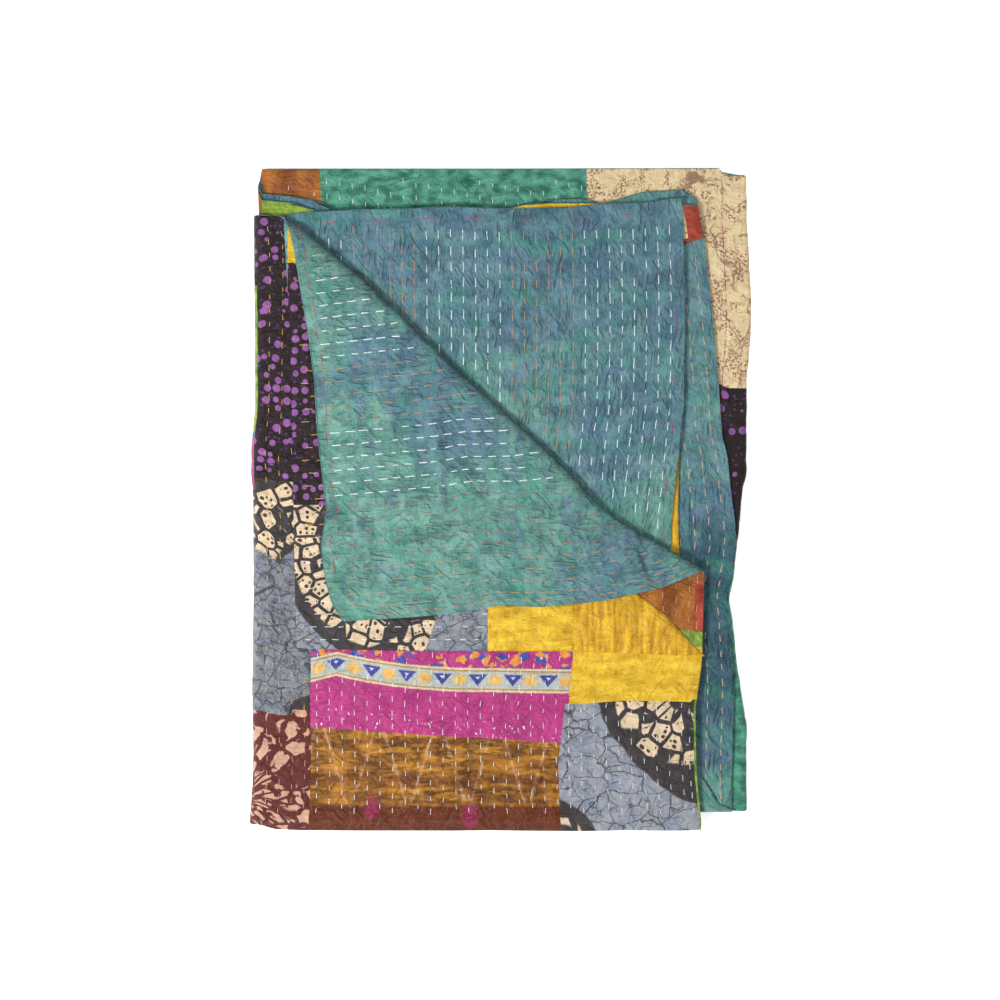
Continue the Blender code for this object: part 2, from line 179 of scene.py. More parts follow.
def turned(x, y, side):
    """The top ply with its corner turned back: level, then a half circle of 3 mm, then level and upside down."""
    s = (x - FOLD_START[0]) * FOLD_ALONG[0] + (y - FOLD_START[1]) * FOLD_ALONG[1]
    d = fold_distance(x, y)
    run = math.pi * FOLD_RADIUS
    radius = FOLD_RADIUS - side
    roll = np.clip(d, 0, run) / FOLD_RADIUS
    z = TOP_MIDDLE + FOLD_RADIUS - radius * np.cos(roll)
    flat = np.where(d <= 0, d, np.where(d < run, radius * np.sin(roll), run - d))
    flat = flat + column(FOLD_SAG, s) * np.exp(-((flat / 110.0) ** 2))
    return FOLD_START[0] + s * FOLD_ALONG[0] + flat * FOLD_OVER[0], \
        FOLD_START[1] + s * FOLD_ALONG[1] + flat * FOLD_OVER[1], z


def settle(x, y, z):
    """The pile's slow waves, growing with height, and the bottom edge of the top strip sinking to the table.
    Returns metres."""
    wave = np.sin(x / 61.0 + 0.7) * np.cos(y / 83.0) + 0.6 * np.sin((x - 1.6 * y) / 97.0)
    z = z + 1.3 * wave * np.clip(z / 29.0, 0, 1) * z / 29.0
    sink = np.clip((-387.0 - y) / 17.0, 0, 1)
    z = z - 7.5 * sink * sink * (3 - 2 * sink) * np.clip((z - 5.5) / 12.0, 0, 1)
    return np.stack([x - MIDDLE[0], y - MIDDLE[1], np.maximum(z, 0.02)], -1) * 0.001


def laid_out(u, v, side):
    """The doubled, folded strip before its corner is turned. side is +1 on the patchwork face, -1 on the
    backing; the bottom fold is a half circle."""
    offset = PLY_OFFSET + side
    inner = v < 0
    bottom = column(HEMS, u, 3)
    top = np.where(inner, column(HEMS, u, 2), column(HEMS, u, 1))
    in_turn = np.abs(v) <= BOTTOM_RUN
    turn = (1 - np.clip(v / BOTTOM_RUN, -1, 1)) * math.pi / 2
    line = bottom + np.maximum(0, np.abs(v) - BOTTOM_RUN) / (PLY_DEPTH - BOTTOM_RUN) * (top - bottom)
    y = np.where(in_turn, bottom - offset * np.sin(turn), line)
    across = offset * np.cos(turn)
    x, z, dx, dz = path_point(u, line, inner)
    return x + across * dx, y, z + across * dz


def quilt_point(u, v, side):
    """Where a point of the quilt lies in the finished pile, in metres."""
    x, y, z = laid_out(u, v, side)
    tx, ty, tz = turned(x, y, side)
    top = (u <= TOP[1]) & (v >= BOTTOM_RUN)
    return settle(np.where(top, tx, x), np.where(top, ty, y), np.where(top, tz, z))


# Creases. Smooth random numbers on a lattice stand for wrinkles; a furrow runs under each row of stitches.
LATTICE = np.random.default_rng(7).random((8, 64, 64)) * 2 - 1


def rumple(a, b, layer=0):
    """Smooth noise from -1 to 1: random values on whole numbers, blended between them."""
    ia, ib = np.floor(a).astype(int), np.floor(b).astype(int)
    fa, fb = a - ia, b - ib
    fa, fb = fa * fa * (3 - 2 * fa), fb * fb * (3 - 2 * fb)
    grid = LATTICE[layer]
    corner = lambda p, q: grid[(ia + p) % 64, (ib + q) % 64]
    low = corner(0, 0) * (1 - fa) + corner(1, 0) * fa
    high = corner(0, 1) * (1 - fa) + corner(1, 1) * fa
    return low * (1 - fb) + high * fb


def creases(across, along, shown):
    """Height of the cloth in millimetres: furrows every 15.6 mm, deepest at each stitch, puckers that run from
    row to row, and broad soft wrinkles. across counts over the rows, along follows them."""
    row = across / ROW_PITCH
    near = np.abs(row - np.round(row)) * 2
    pull = 0.6 + 0.4 * np.cos(2 * math.pi * (along / STITCH_PERIOD + 0.37 * np.round(row)))
    furrow = -0.62 * pull * (1 - near) ** 1.4
    pucker = 0.34 * rumple(across / 17.0 + 9, along / 8.2, 1) + 0.5 * rumple(across / 26.0, along / 13.5, 2)
    broad = 0.75 * rumple(across / 47.0, along / 31.0, 3) + 0.5 * rumple(across / 24.0, along / 55.0, 4)
    sharp = 1 - np.abs(rumple((across + along) / 38.0, (along - across) / 62.0 + 5, 6)) * 5
    broad = broad - 0.9 * np.clip(sharp, 0, 1)
    return np.where(shown, np.maximum(furrow + pucker + broad, DEEPEST_CREASE), 0.25 * pucker)


def pick_lines(*ranges, extra=()):
    """Grid lines: each range is (start, end, step); near duplicates are dropped."""
    lines = np.concatenate([np.arange(a, b, step) for a, b, step in ranges] + [np.array(extra, float)])
    lines = np.unique(np.round(lines, 3))
    keep = np.concatenate([[True], np.diff(lines) > 0.05])
    return lines[keep]


def grid_quads(rows, columns, first=0):
    """The four-cornered faces between the points of a grid whose points are numbered row by row."""
    index = np.arange(rows * columns).reshape(rows, columns) + first
    return np.stack([index[:-1, :-1], index[1:, :-1], index[1:, 1:], index[:-1, 1:]], -1).reshape(-1, 4)


def grid_mesh(name, points, uv, slots=None, flip=False):
    """A mesh of one rectangular grid of points, with a UV map in metres and a material number for each face."""
    quads = grid_quads(*points.shape[:2])
    if flip:
        quads = quads[:, ::-1]
    return raw_mesh(name, points.reshape(-1, 3), quads, uv.reshape(-1, 2), slots)


def raw_mesh(name, points, quads, uv, slots=None):
    """A mesh object from whole arrays of points and four-cornered faces."""
    mesh = bpy.data.meshes.new(name)
    mesh.vertices.add(len(points))
    mesh.vertices.foreach_set("co", points.astype(np.float32).ravel())
    mesh.loops.add(quads.size)
    mesh.loops.foreach_set("vertex_index", quads.astype(np.int32).ravel())
    mesh.polygons.add(len(quads))
    mesh.polygons.foreach_set("loop_start", np.arange(0, quads.size, 4, dtype=np.int32))
    mesh.polygons.foreach_set("use_smooth", np.ones(len(quads), bool))
    if slots is not None:
        mesh.polygons.foreach_set("material_index", slots.astype(np.int32).ravel())
    layer = mesh.uv_layers.new(name="cloth")
    layer.data.foreach_set("uv", uv[quads.ravel()].astype(np.float32).ravel())
    mesh.update(calc_edges=True)
    mesh.validate()
    piece = bpy.data.objects.new(name, mesh)
    bpy.context.scene.collection.objects.link(piece)
    return piece


# Cloth materials. Thin silks, all woven about as fine as each other, with a soft sheen; every pattern is worked
# out from the cloth's own coordinates in millimetres, so that it follows the folds.
def tone(code):
    """A colour written as six hexadecimal digits, as linear red, green, blue and 1."""
    parts = [int(code[i:i + 2], 16) / 255 for i in (0, 2, 4)]
    return tuple(p / 12.92 if p <= 0.04045 else ((p + 0.055) / 1.055) ** 2.4 for p in parts) + (1.0,)


class Value:
    """A shader socket that can be used in ordinary arithmetic."""

    def __init__(self, cloth, socket):
        self.cloth, self.socket = cloth, socket

    def math(self, kind, *others, clamp=False):
        """A Math node with this value first."""
        inputs = dict(enumerate((self, *others)))
        return self.cloth.node("ShaderNodeMath", {"operation": kind, "use_clamp": clamp}, inputs)

    def __add__(self, other):
        return self.math("ADD", other)

    def __radd__(self, other):
        return self.math("ADD", other)

    def __sub__(self, other):
        return self.math("SUBTRACT", other)

    def __rsub__(self, other):
        return self.cloth.node("ShaderNodeMath", {"operation": "SUBTRACT"}, {0: other, 1: self})

    def __mul__(self, other):
        return self.math("MULTIPLY", other)

    def __rmul__(self, other):
        return self.math("MULTIPLY", other)

    def __truediv__(self, other):
        return self.math("DIVIDE", other)

    def over(self, edge, soft=1.0):
        """0 below an edge and 1 above it, with a soft change."""
        return self.cloth.node(
            "ShaderNodeMapRange",
            {"interpolation_type": "SMOOTHSTEP"},
            {0: self, 1: edge - soft / 2, 2: edge + soft / 2, 3: 0.0, 4: 1.0},
        )

    def under(self, edge, soft=1.0):
        """1 below an edge and 0 above it."""
        return 1.0 - self.over(edge, soft)


class Cloth:
    """A fabric material: a Principled shader, its pattern coordinates in millimetres, and a few node makers."""

    def __init__(self, name, rough=0.5, sheen=0.1, weave=0.35):
        self.material = bpy.data.materials.new(name)
        self.material.use_nodes = True
        self.tree = self.material.node_tree
        self.shader = self.tree.nodes["Principled BSDF"]
        self.shader.inputs["Sheen Weight"].default_value = sheen
        self.shader.inputs["Specular IOR Level"].default_value = 0.3
        self.rough, self.weave = rough, weave
        uv = self.node("ShaderNodeUVMap", {"uv_map": "cloth"}, {}, raw=True)
        split = self.node("ShaderNodeSeparateXYZ", {}, {0: Value(self, uv.outputs[0])}, raw=True)
        self.x = Value(self, split.outputs[0]) * 1000.0
        self.y = Value(self, split.outputs[1]) * 1000.0

    def node(self, kind, settings, inputs, output=0, raw=False):
        """Adds a node: its settings first, then values or links for its inputs."""
        made = self.tree.nodes.new(kind)
        for key, value in settings.items():
            setattr(made, key, value)
        for key, value in inputs.items():
            if isinstance(value, Value):
                self.tree.links.new(value.socket, made.inputs[key])
            else:
                made.inputs[key].default_value = value
        return made if raw else Value(self, made.outputs[output])

    def vector(self, x, y, z=0.0):
        return self.node("ShaderNodeCombineXYZ", {}, {0: x, 1: y, 2: z})

    def noise(self, size, detail=2.0, stretch=(1.0, 1.0), shift=0.0, rough=0.5):
        """Soft noise about 0.5, with blobs of a size in millimetres."""
        return self.noise_at(
            self.x * (1 / size / stretch[0]) + shift, self.y * (1 / size / stretch[1]) + shift, detail, rough,
        )

    def noise_at(self, x, y, detail, rough):
        """Soft noise read at a place counted in blobs."""
        values = {"Vector": self.vector(x, y), "Scale": 1.0, "Detail": detail, "Roughness": rough}
        return self.node("ShaderNodeTexNoise", {}, values)

    def cells(self, x, y, feature="F1", jitter=1.0, output=0):
        """Random cells, one to a unit square: distance to a cell's middle or edge, or its colour."""
        return self.node(
            "ShaderNodeTexVoronoi", {"feature": feature},
            {"Vector": self.vector(x, y), "Scale": 1.0, "Randomness": jitter}, output,
        )

    def mix(self, share, low, high):
        """Colour between two colours, each of them a value or six hexadecimal digits."""
        low, high = (tone(colour) if isinstance(colour, str) else colour for colour in (low, high))
        made = self.node("ShaderNodeMix", {"data_type": "RGBA"}, {0: share, 6: low, 7: high}, raw=True)
        return Value(self, made.outputs[2])

    def scale(self, colour, factor):
        """A colour made darker or lighter."""
        return self.node("ShaderNodeVectorMath", {"operation": "SCALE"}, {0: colour, 3: factor})

    def crease(self, size, degrees, shift, width):
        """Thin long lines that run at an angle to the cloth, where noise stretched to five times its size
        passes its middle, fading in and out."""
        c, s = math.cos(math.radians(degrees)), math.sin(math.radians(degrees))
        ahead, aside = self.x * c + self.y * s, self.y * c - self.x * s
        line = self.noise_at(ahead * (0.2 / size) + shift, aside * (1 / size) + shift, 2.0, 0.4)
        line = (line - 0.5).math("ABSOLUTE").under(width / 2, width)
        return line * self.noise(26.0, 2.0, shift=shift + 12.0).over(0.52, 0.16)

    def finish(self, colour, crumple=0.55, grain=(2.4, 0.7)):
        """Adds faded and darker threads, the weave's bump, fine wrinkles and creases, and joins everything up.
        The wrinkles and creases also darken the colour, as painted shade in their hollows."""
        streak = self.noise(5.0, 2.0, (0.35, 5.0), 3.0)
        cloud = self.noise(36.0, 3.0, shift=7.0)
        wrinkle = self.noise(9.0, 3.0, grain, 11.0, 0.6)
        crush = self.noise(15.0, 5.0, (1.3, 0.9), 29.0, 0.7)
        folds = self.crease(9.0, 12.0 if grain[0] > 1 else 98.0, 41.0, 0.13)
        for degrees, size in ((-40.0, 16.0), (58.0, 14.0)):
            folds = folds.math("MAXIMUM", self.crease(size, degrees, 67.0 + degrees, 0.10) * 0.8)
        # streak and cloud are the cloth's own uneven tone; the wrinkle, crush and folds terms are painted shade,
        # darker in the hollows of wrinkles and creases, and crumple makes that painted shade stronger
        shade = 0.40 + 0.30 * streak + 0.28 * cloud + 0.36 * wrinkle + 0.36 * crush
        shade = (shade + (crush - 0.5) * (1.2 * (crumple - 0.55))) * (1.02 - folds * (0.22 * crumple))
        self.tree.links.new(self.scale(colour, shade).socket, self.shader.inputs["Base Color"])
        worn = self.rough - 0.10 + 0.2 * self.noise(18.0, 2.0, shift=21.0)
        self.tree.links.new(worn.socket, self.shader.inputs["Roughness"])
        wave_x = (self.x * 6.9).math("SINE")
        wave_y = (self.y * 6.9).math("SINE")
        height = wrinkle * 1.1 + crush * (1.3 + crumple) + wave_x * wave_y * (0.04 * self.weave) + streak * 0.12
        height = height - folds * (1.1 * crumple)
        bump = self.node("ShaderNodeBump", {}, {"Strength": 0.9, "Distance": 0.0022, "Height": height})
        self.tree.links.new(bump.socket, self.shader.inputs["Normal"])
        return self.material


def silk(name, low, high, size=30.0, stretch=(1.0, 1.0), rough=0.45, hard=0.35):
    """Plain dyed silk, mottled between two colours."""
    cloth = Cloth(name, rough)
    share = cloth.noise(size, 3.0, stretch).over(0.5, hard)
    return cloth.finish(cloth.mix(share, low, high))


def dotted(name):
    """Round dots of several sizes on a near-black ground."""
    cloth = Cloth(name, 0.6, 0.03)
    big = cloth.cells(cloth.x / 12.8, cloth.y / 12.8, jitter=0.6)
    size = cloth.cells(cloth.x / 12.8, cloth.y / 12.8, jitter=0.6, output=1)
    size = cloth.node("ShaderNodeSeparateColor", {}, {0: size})
    edge = 0.33 + 0.06 * size
    dots = (edge - big).over(0.0, 0.05)
    small = cloth.cells(cloth.x / 6.4 + 3.3, cloth.y / 6.4, jitter=0.7)
    specks = small.under(0.28, 0.08) * big.over(0.50, 0.05)
    violet = cloth.mix(cloth.noise(8.0), "6f3c80", "9c64a0")
    ground = cloth.mix(cloth.noise(25.0), "100a0d", "2a191a")
    colour = cloth.mix(dots, ground, violet)
    return cloth.finish(cloth.mix(specks * 0.4, colour, "6a3f8c"))


def batik(name, cell, dirt, rings):
    """Wax-resist cloth: blue-grey crackle with curved dark bands of pale, dotted cells. cell is the cells'
    size in millimetres and dirt the share of dark stains. Each ring has a centre, the radii where the dark
    starts, the cells start, the cells end and the dark ends, and a slope and a limit: the ring shows where
    y + slope * x is over the limit. Cells that start at 900 are outside the dark, so the ring has none."""
    cloth = Cloth(name, 0.55)
    warp = (cloth.noise(24.0, 3.0, shift=5.0) - 0.5) * 0.7
    veins = cloth.cells(cloth.x / 36.0 + warp, cloth.y / 27.0 + warp, "DISTANCE_TO_EDGE").under(0.016, 0.03)
    fine = cloth.cells(cloth.x / 11.0 + warp * 1.5, cloth.y / 12.0 - warp, "DISTANCE_TO_EDGE").under(0.035, 0.06)
    patchy = cloth.noise(26.0, 3.0, shift=2.0).over(0.60 - 0.12 * dirt, 0.10)
    veins = (veins * 0.9).math("MAXIMUM", fine * patchy * 0.85, clamp=True)
    stain = cloth.noise(13.0, 5.0, shift=6.0, rough=0.8).over(0.66 - 0.10 * dirt, 0.16) * (0.45 + 0.2 * dirt)
    blue = cloth.scale(cloth.mix(cloth.noise(24.0, 4.0), "7584a2", "b6b5b2"), 1.0 - 0.4 * dirt)
    colour = cloth.mix(veins.math("MAXIMUM", stain), blue, "2b292d")
    cream = cloth.mix(cloth.noise(12.0), "e2cdab", "c8ae90")
    ground = cloth.mix(cloth.noise(10.0, 3.0), "241f22", "433c3e")
    wobble = (cloth.noise(30.0, 2.0) - 0.5) * 12.0
    for x, y, dark_from, cells_from, cells_to, dark_to, slope, limit in rings:
        dx, dy = cloth.x - x, cloth.y - y
        radius = (dx * dx + dy * dy).math("SQRT") + wobble
        turn = dy.math("ARCTAN2", dx) * ((cells_from + cells_to) / 2)
        gaps = cloth.cells(radius / cell, turn / (cell * 0.8), "DISTANCE_TO_EDGE", 0.6)
        pips = cloth.cells(radius / (cell * 0.33), turn / (cell * 0.31), jitter=0.45).under(0.33, 0.08)
        pale = gaps.over(0.10, 0.03) * radius.over(cells_from, 3.0) * radius.under(cells_to, 3.0)
        band = cloth.mix(pale, ground, cloth.mix(pips * gaps.over(0.16, 0.04), cream, "42332e"))
        inside = radius.over(dark_from, 3.0) * radius.under(dark_to, 3.0)
        colour = cloth.mix(inside * (cloth.y + slope * cloth.x).over(limit, 8.0), colour, band)
    return cloth.finish(colour, 0.7)


def foliage(name):
    """Cream cloth printed with brown sprays of leaves and branches."""
    cloth = Cloth(name, 0.6)
    warp = (cloth.noise(22.0, 3.0) - 0.5) * 1.1
    twig = cloth.cells(cloth.x / 26.0 + warp, cloth.y / 95.0 + warp, "DISTANCE_TO_EDGE").under(0.02, 0.02)
    leaf = cloth.noise(3.0, 3.0, shift=4.0, rough=0.7).over(0.52, 0.05)
    tree = cloth.noise(30.0, 3.0, shift=9.3, rough=0.6).over(0.505, 0.05)
    bough = cloth.noise(46.0, 2.0, shift=17.0).over(0.49, 0.06)
    print_share = (twig * bough * 0.75).math("MAXIMUM", leaf * tree * 0.9, clamp=True)
    ground = cloth.mix(cloth.noise(60.0), "e2cda2", "d4bd90")
    return cloth.finish(cloth.mix(print_share, ground, "84544a"))


def petals(name):
    """Maroon cloth with pale petal shapes that fan out from one point."""
    cloth = Cloth(name, 0.55)
    dx, dy = cloth.x + 318.0, cloth.y + 372.0
    radius = (dx * dx + dy * dy).math("SQRT")
    angle = dy.math("ARCTAN2", dx)
    bend = (cloth.noise(18.0, 2.0) - 0.5) * 0.7
    shape = cloth.cells(radius / 27.0 + bend, angle * 5.6 + bend, "DISTANCE_TO_EDGE", 0.85)
    pale = shape.over(0.12, 0.04) * cloth.noise(13.0, 2.0, shift=1.0).over(0.44, 0.06)
    ground = cloth.mix(cloth.noise(20.0), "451512", "62221d")
    return cloth.finish(cloth.mix(pale, ground, cloth.mix(cloth.noise(5.0), "cfa78c", "ad7d6c")))


def bordered(name):
    """Magenta ikat silk with a cream striped border of repeated triangles and a strip of blurred flowers."""
    cloth = Cloth(name, 0.45)
    blur = (cloth.noise(3.2, 2.0, (0.5, 2.2)) - 0.5) * 5.0
    # the border starts high at the left and sinks to the right
    right = ((cloth.x + 199.0).math("MAXIMUM", 0.0) * -0.01).math("EXPONENT") * 25.0
    middle = right + (cloth.x + 199.0).math("MINIMUM", 0.0) * 0.25 - 224.5
    x, y = cloth.x, cloth.y - middle + blur * 0.5
    ground = cloth.mix(cloth.noise(22.0, 4.0, (1.0, 2.0)), "8f2065", "bc3b80")
    repeat = (x / 43.6 + 0.087).math("FRACT") - 0.5
    wide = repeat.math("ABSOLUTE") * 43.6
    band = y.over(-14.5, 1.5) * y.under(14.5, 1.5)
    inner = y.over(-9.5, 1.0) * y.under(9.5, 1.0)
    lines = (y.math("ABSOLUTE") - 11.0).math("ABSOLUTE").under(1.0, 0.8)
    triangle = (wide + (6.5 - y) * 0.85).under(11.5, 2.0) * y.under(6.8, 1.5) * y.over(-7.0, 1.5)
    heart = (wide + (6.5 - y) * 0.85).under(5.0, 2.0) * y.under(4.0, 1.5)
    between = 22.0 - wide
    motif = (between * between + y * y * 1.6).math("SQRT").under(8.5, 3.0)
    stripe = cloth.mix(lines, "cdbd9d", "a08358")
    field = cloth.mix(cloth.noise(7.0), "bdb9a6", "93a6b2")
    field = cloth.mix(motif * 0.9, field, "dba94a")
    field = cloth.mix(triangle, field, cloth.mix(heart, "3a3f8e", "c9cfd6"))
    border = cloth.mix(inner, stripe, field)
    strip = y.over(14.0, 1.5)
    bloom = cloth.cells(cloth.x / 19.0, cloth.y / 15.0, jitter=0.7) + (cloth.noise(5.0) - 0.5) * 0.5
    flower = cloth.mix(cloth.noise(17.0, 1.0, shift=31.0).over(0.5, 0.1), "3a4a9c", "d98b39")
    flower = cloth.mix(bloom.under(0.13, 0.08), flower, "e3c58f")
    colour = cloth.mix(bloom.under(0.47, 0.08) * strip, ground, flower)
    colour = cloth.mix(band, colour, border)
    low = y.under(-48.0, 10.0)
    speck = cloth.noise(4.6, 1.0, (1.0, 1.3), 17.0).over(0.69, 0.05) * low
    colour = cloth.mix(speck, colour, cloth.mix(cloth.noise(9.0, shift=8.0).over(0.5, 0.2), "dfe2e8", "6f8fc4"))
    return cloth.finish(colour)


def brown_silk(name):
    """Golden-brown silk with rust bands across it and pale blurred chevrons."""
    cloth = Cloth(name, 0.42, 0.02)
    blur = (cloth.noise(7.0, 3.0, (0.5, 2.0)) - 0.5) * 9.0
    x, y = cloth.x + blur, cloth.y + blur * 0.6
    chevron = ((x / 73.0).math("FRACT") - 0.5).math("ABSOLUTE") * 146.0
    line = (chevron - (y + 392.0) * 0.62 + 8.0).math("ABSOLUTE").under(3.4, 5.5) * y.over(-368.0, 12.0)
    gold = cloth.mix(cloth.noise(20.0, 4.0, (3.0, 0.5)).over(0.5, 0.4), "6e3e0c", "b97f26")
    colour = cloth.mix(line * 0.55 * cloth.noise(14.0, shift=3.0).over(0.42, 0.2), gold, "d6a780")
    # painted shade: the hollows of the puckers are drawn as dark brown lines
    pucker = cloth.crease(8.0, 2.0, 77.0, 0.13).math("MAXIMUM", cloth.crease(12.0, -7.0, 19.0, 0.10))
    colour = cloth.mix(pucker * 0.75, colour, "4a2406")
    band = y.under(-372.0, 5.0)
    band = band.math("MAXIMUM", (y + 341.0 + blur).math("ABSOLUTE").under(4.0, 6.0) * 0.6)
    colour = cloth.mix(band, colour, cloth.mix(cloth.noise(10.0, 3.0, (4.0, 0.5)), "3d1203", "74330c"))
    spot = ((cloth.x + 155.0) * (cloth.x + 155.0) + (cloth.y + 374.0) * (cloth.y + 374.0) * 0.4).math("SQRT")
    other = ((cloth.x + 34.0) * (cloth.x + 34.0) + (cloth.y + 385.0) * (cloth.y + 385.0) * 0.4).math("SQRT")
    magenta = (spot + blur * 0.4).under(9.0, 7.0).math("MAXIMUM", (other + blur * 0.4).under(10.0, 7.0))
    return cloth.finish(cloth.mix(magenta * 0.8, colour, "8a1f48"), 0.8, (3.5, 0.6))


def attribute(cloth, name):
    """The number that each point of the piece carries under a name."""
    made = cloth.node("ShaderNodeAttribute", {"attribute_name": name}, {}, raw=True)
    return Value(cloth, made.outputs["Fac"])


def backing_cloth(name):
    """Backing silk, dyed unevenly from sea green to slate blue. The number dye says where it is bluer, and the
    second number where shade is painted darker: in creases, on the roll of the turned corner and inside the
    pile."""
    cloth = Cloth(name, 0.5, weave=0.5)
    dye = attribute(cloth, "dye") + (cloth.noise(66.0, 5.0, shift=3.0, rough=0.62) - 0.5) * 1.5
    dye = dye + (cloth.noise(10.0, 4.0, (1.0, 2.6), rough=0.7) - 0.5) * 0.4
    dye = dye + (cloth.noise(22.0, 3.0, (6.0, 1.0), 37.0, 0.6) - 0.5) * 1.1
    green = cloth.mix(cloth.noise(34.0, 5.0, shift=8.0, rough=0.65).over(0.5, 0.6), "407870", "7fae9f")
    blue = cloth.mix(cloth.noise(30.0, 5.0, shift=14.0, rough=0.65).over(0.5, 0.6), "3a6377", "6b8f99")
    colour = cloth.mix(dye.over(0.5, 0.9), green, blue)
    colour = cloth.mix(dye.over(1.5, 0.8) * 0.8, colour, "1d4c5a")
    # painted shade: darker towards 0f2a33 in creases, on the turned corner's roll and where the pile shades the
    # inner strip
    colour = cloth.mix(attribute(cloth, "painted_shade"), colour, "0f2a33")
    thread = cloth.noise(2.6, 2.0, (0.6, 9.0), 19.0).over(0.60, 0.10)
    colour = cloth.mix(thread * 0.35, colour, "23474c")
    plum = cloth.noise(30.0, 5.0, (1.8, 0.9), 61.0, 0.7).over(0.60, 0.18)
    colour = cloth.mix(plum * 0.40, colour, "5a5f92")
    jade = cloth.noise(38.0, 5.0, (1.8, 0.9), 83.0, 0.65).over(0.57, 0.18)
    colour = cloth.mix(jade * 0.42, colour, "3c9079")
    deep = cloth.noise(48.0, 4.0, (0.7, 1.6), 23.0, 0.6).over(0.63, 0.18)
    return cloth.finish(cloth.mix(deep * 0.4, colour, "1f434f"), 1.0, (0.9, 1.9))


MATERIALS = {
    "orange_brown": silk("orange_brown_silk", "7c4210", "a66424", 24.0, (1.0, 2.0), 0.4),
    "emerald": silk("emerald_silk", "185c4c", "58a086", 13.0, (1.2, 0.8), 0.42, 0.5),
    "cream_print": foliage("cream_print_silk"),
    "dots": dotted("dotted_silk"),
    "batik_left": batik("batik_silk_left", 21.0, 1.0, (
        (-216.0, -112.0, 62.0, 70.0, 140.0, 165.0, 0.5, -215.0),
        (-230.0, -264.0, -9.0, 900.0, 901.0, 27.0, 0.0, -900.0),
    )),
    "batik_under": batik("batik_silk_under", 22.0, 0.7, (
        (-118.0, -46.0, 90.0, 103.0, 140.0, 156.0, -3.0, 90.0),
    )),
    "batik_right": batik("batik_silk_right", 24.0, 0.45, (
        (330.0, -170.0, 70.0, 900.0, 901.0, 221.0, 0.0, -900.0),
        (229.0, -240.0, -9.0, 20.0, 84.0, 86.0, 0.0, -900.0),
        (60.0, -430.0, -9.0, -8.0, 50.0, 66.0, 0.0, -900.0),
    )),
    "petals": petals("maroon_petal_silk"),
    "ikat": bordered("magenta_ikat_silk"),
    "brown": brown_silk("golden_brown_silk"),
    "yellow": silk("yellow_silk", "c99c14", "e4bd30", 16.0, (2.0, 0.7), 0.36),
    "gold": silk("gold_silk", "b78410", "e3b428", 12.0, (0.5, 3.0), 0.36),
    "green": silk("leaf_green_silk", "557d22", "8fa83a", 14.0),
    "red": silk("brick_red_silk", "8c2f1f", "b04a33", 14.0),
    "backing": backing_cloth("dyed_backing_silk"),
}
NAMES = list(MATERIALS)


def paint(piece, name, values):
    """Gives a piece a number at each of its points, for a material to read."""
    layer = piece.data.attributes.new(name, "FLOAT", "POINT")
    layer.data.foreach_set("value", values.ravel().astype(np.float32))


def dress(piece):
    """Gives a piece all the cloth materials, in the order that its faces' numbers count them."""
    for key in NAMES:
        piece.data.materials.append(MATERIALS[key])


def place_in_frame(piece):
    """The piece stands for the quilt's solid: it is attached to the root body and the solid is hidden."""
    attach(piece, "root")
    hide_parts("quilt")


# The patchwork face: silk patches seamed edge to edge. One sheet over the whole strip, its grid lines lying on
# the seams; a patch is a rectangle of the strip, and a later row of the table lies over an earlier one.
# material, start and end along the strip, start and end of the depth
PATCHES = (
    ("emerald", 0, 2260, -745, 745),
    ("dots", 0, 300, 350, 745),
    ("gold", 300, 460, 350, 745),
    ("orange_brown", 0, 120, 120, 352),
    ("red", 0, 11, 240, 296),
    ("green", 0, 28, 214, 237),
    ("ikat", 160, 478, 90, 222),
    ("brown", 171, 478, -60, 117),
    ("yellow", 0, 160, 157, 219),
    ("batik_right", 2.5, 171, -90, 157),
    ("dots", 478, 546, 424, 745),
    ("batik_left", 478, 560, 140, 424),
    ("petals", 478, 585, -120, 140),
    ("green", 546, 620, 480, 660),
    ("ikat", 547, 620, 410, 480),
    ("dots", 546, 620, 660, 745),
    ("orange_brown", 1682, 1790, -745, 745),
    ("cream_print", 1150, 1356, 496, 745),
    ("dots", 1150, 1260, 292, 496),
    ("emerald", 1100, 1400, 0, 292),
    ("yellow", 1960, 2260, -745, -300),
    ("green", 1762, 1960, -745, -300),
    ("gold", 2120, 2260, -745, -200),
    ("cream_print", 2228, 2243, -745, -699),
    ("red", 2243, 2260, -745, -699),
    ("backing", 2150, 2260, -60, 20),
    ("green", 0, 2.5, -90, 157),
)


def lean(u, v):
    """Some seams aren't square: moves grid lines near them along or across the cloth."""
    drop = 13.0 * np.clip((325.0 - u) / 155.0, -1, 1) * np.exp(-(((v - 117.0) / 40.0) ** 2))
    slide = 9.0 * np.clip((v - 95.0) / 62.0, 0, 1) * np.exp(-(((u - 171.0) / 9.5) ** 2))
    away = (u > 5) & (u < 500) & (v > 3)
    return u - slide * away, v - drop * away * 0.8


def patch_numbers(u, v):
    """The material number of each place of the strip."""
    found = np.zeros(u.shape, int)
    for name, u0, u1, v0, v1 in PATCHES:
        found[(u > u0) & (u < u1) & (v > v0) & (v < v1)] = NAMES.index(name)
    return found


def seam_depth(u, v):
    """A narrow groove along each patch's edges, in millimetres."""
    depth = np.zeros(u.shape)
    for _, u0, u1, v0, v1 in PATCHES[1:]:
        inside_v = (v > v0 - 2) & (v < v1 + 2)
        inside_u = (u > u0 - 2) & (u < u1 + 2)
        for edge in (u0, u1):
            depth = np.maximum(depth, np.exp(-(((u - edge) / 1.6) ** 2)) * inside_v)
        for edge in (v0, v1):
            depth = np.maximum(depth, np.exp(-(((v - edge) / 1.6) ** 2)) * inside_u)
    return 0.45 * depth


def arc_lines(section, steps):
    """Grid lines for a fold between two runs of the strip."""
    return np.linspace(section[0], section[1], steps + 1)[:-1]


def bottom_lines(count):
    """Grid lines over the half circle of the bottom fold, closer together towards its ends."""
    return BOTTOM_RUN * np.cos(np.linspace(0, math.pi, count))


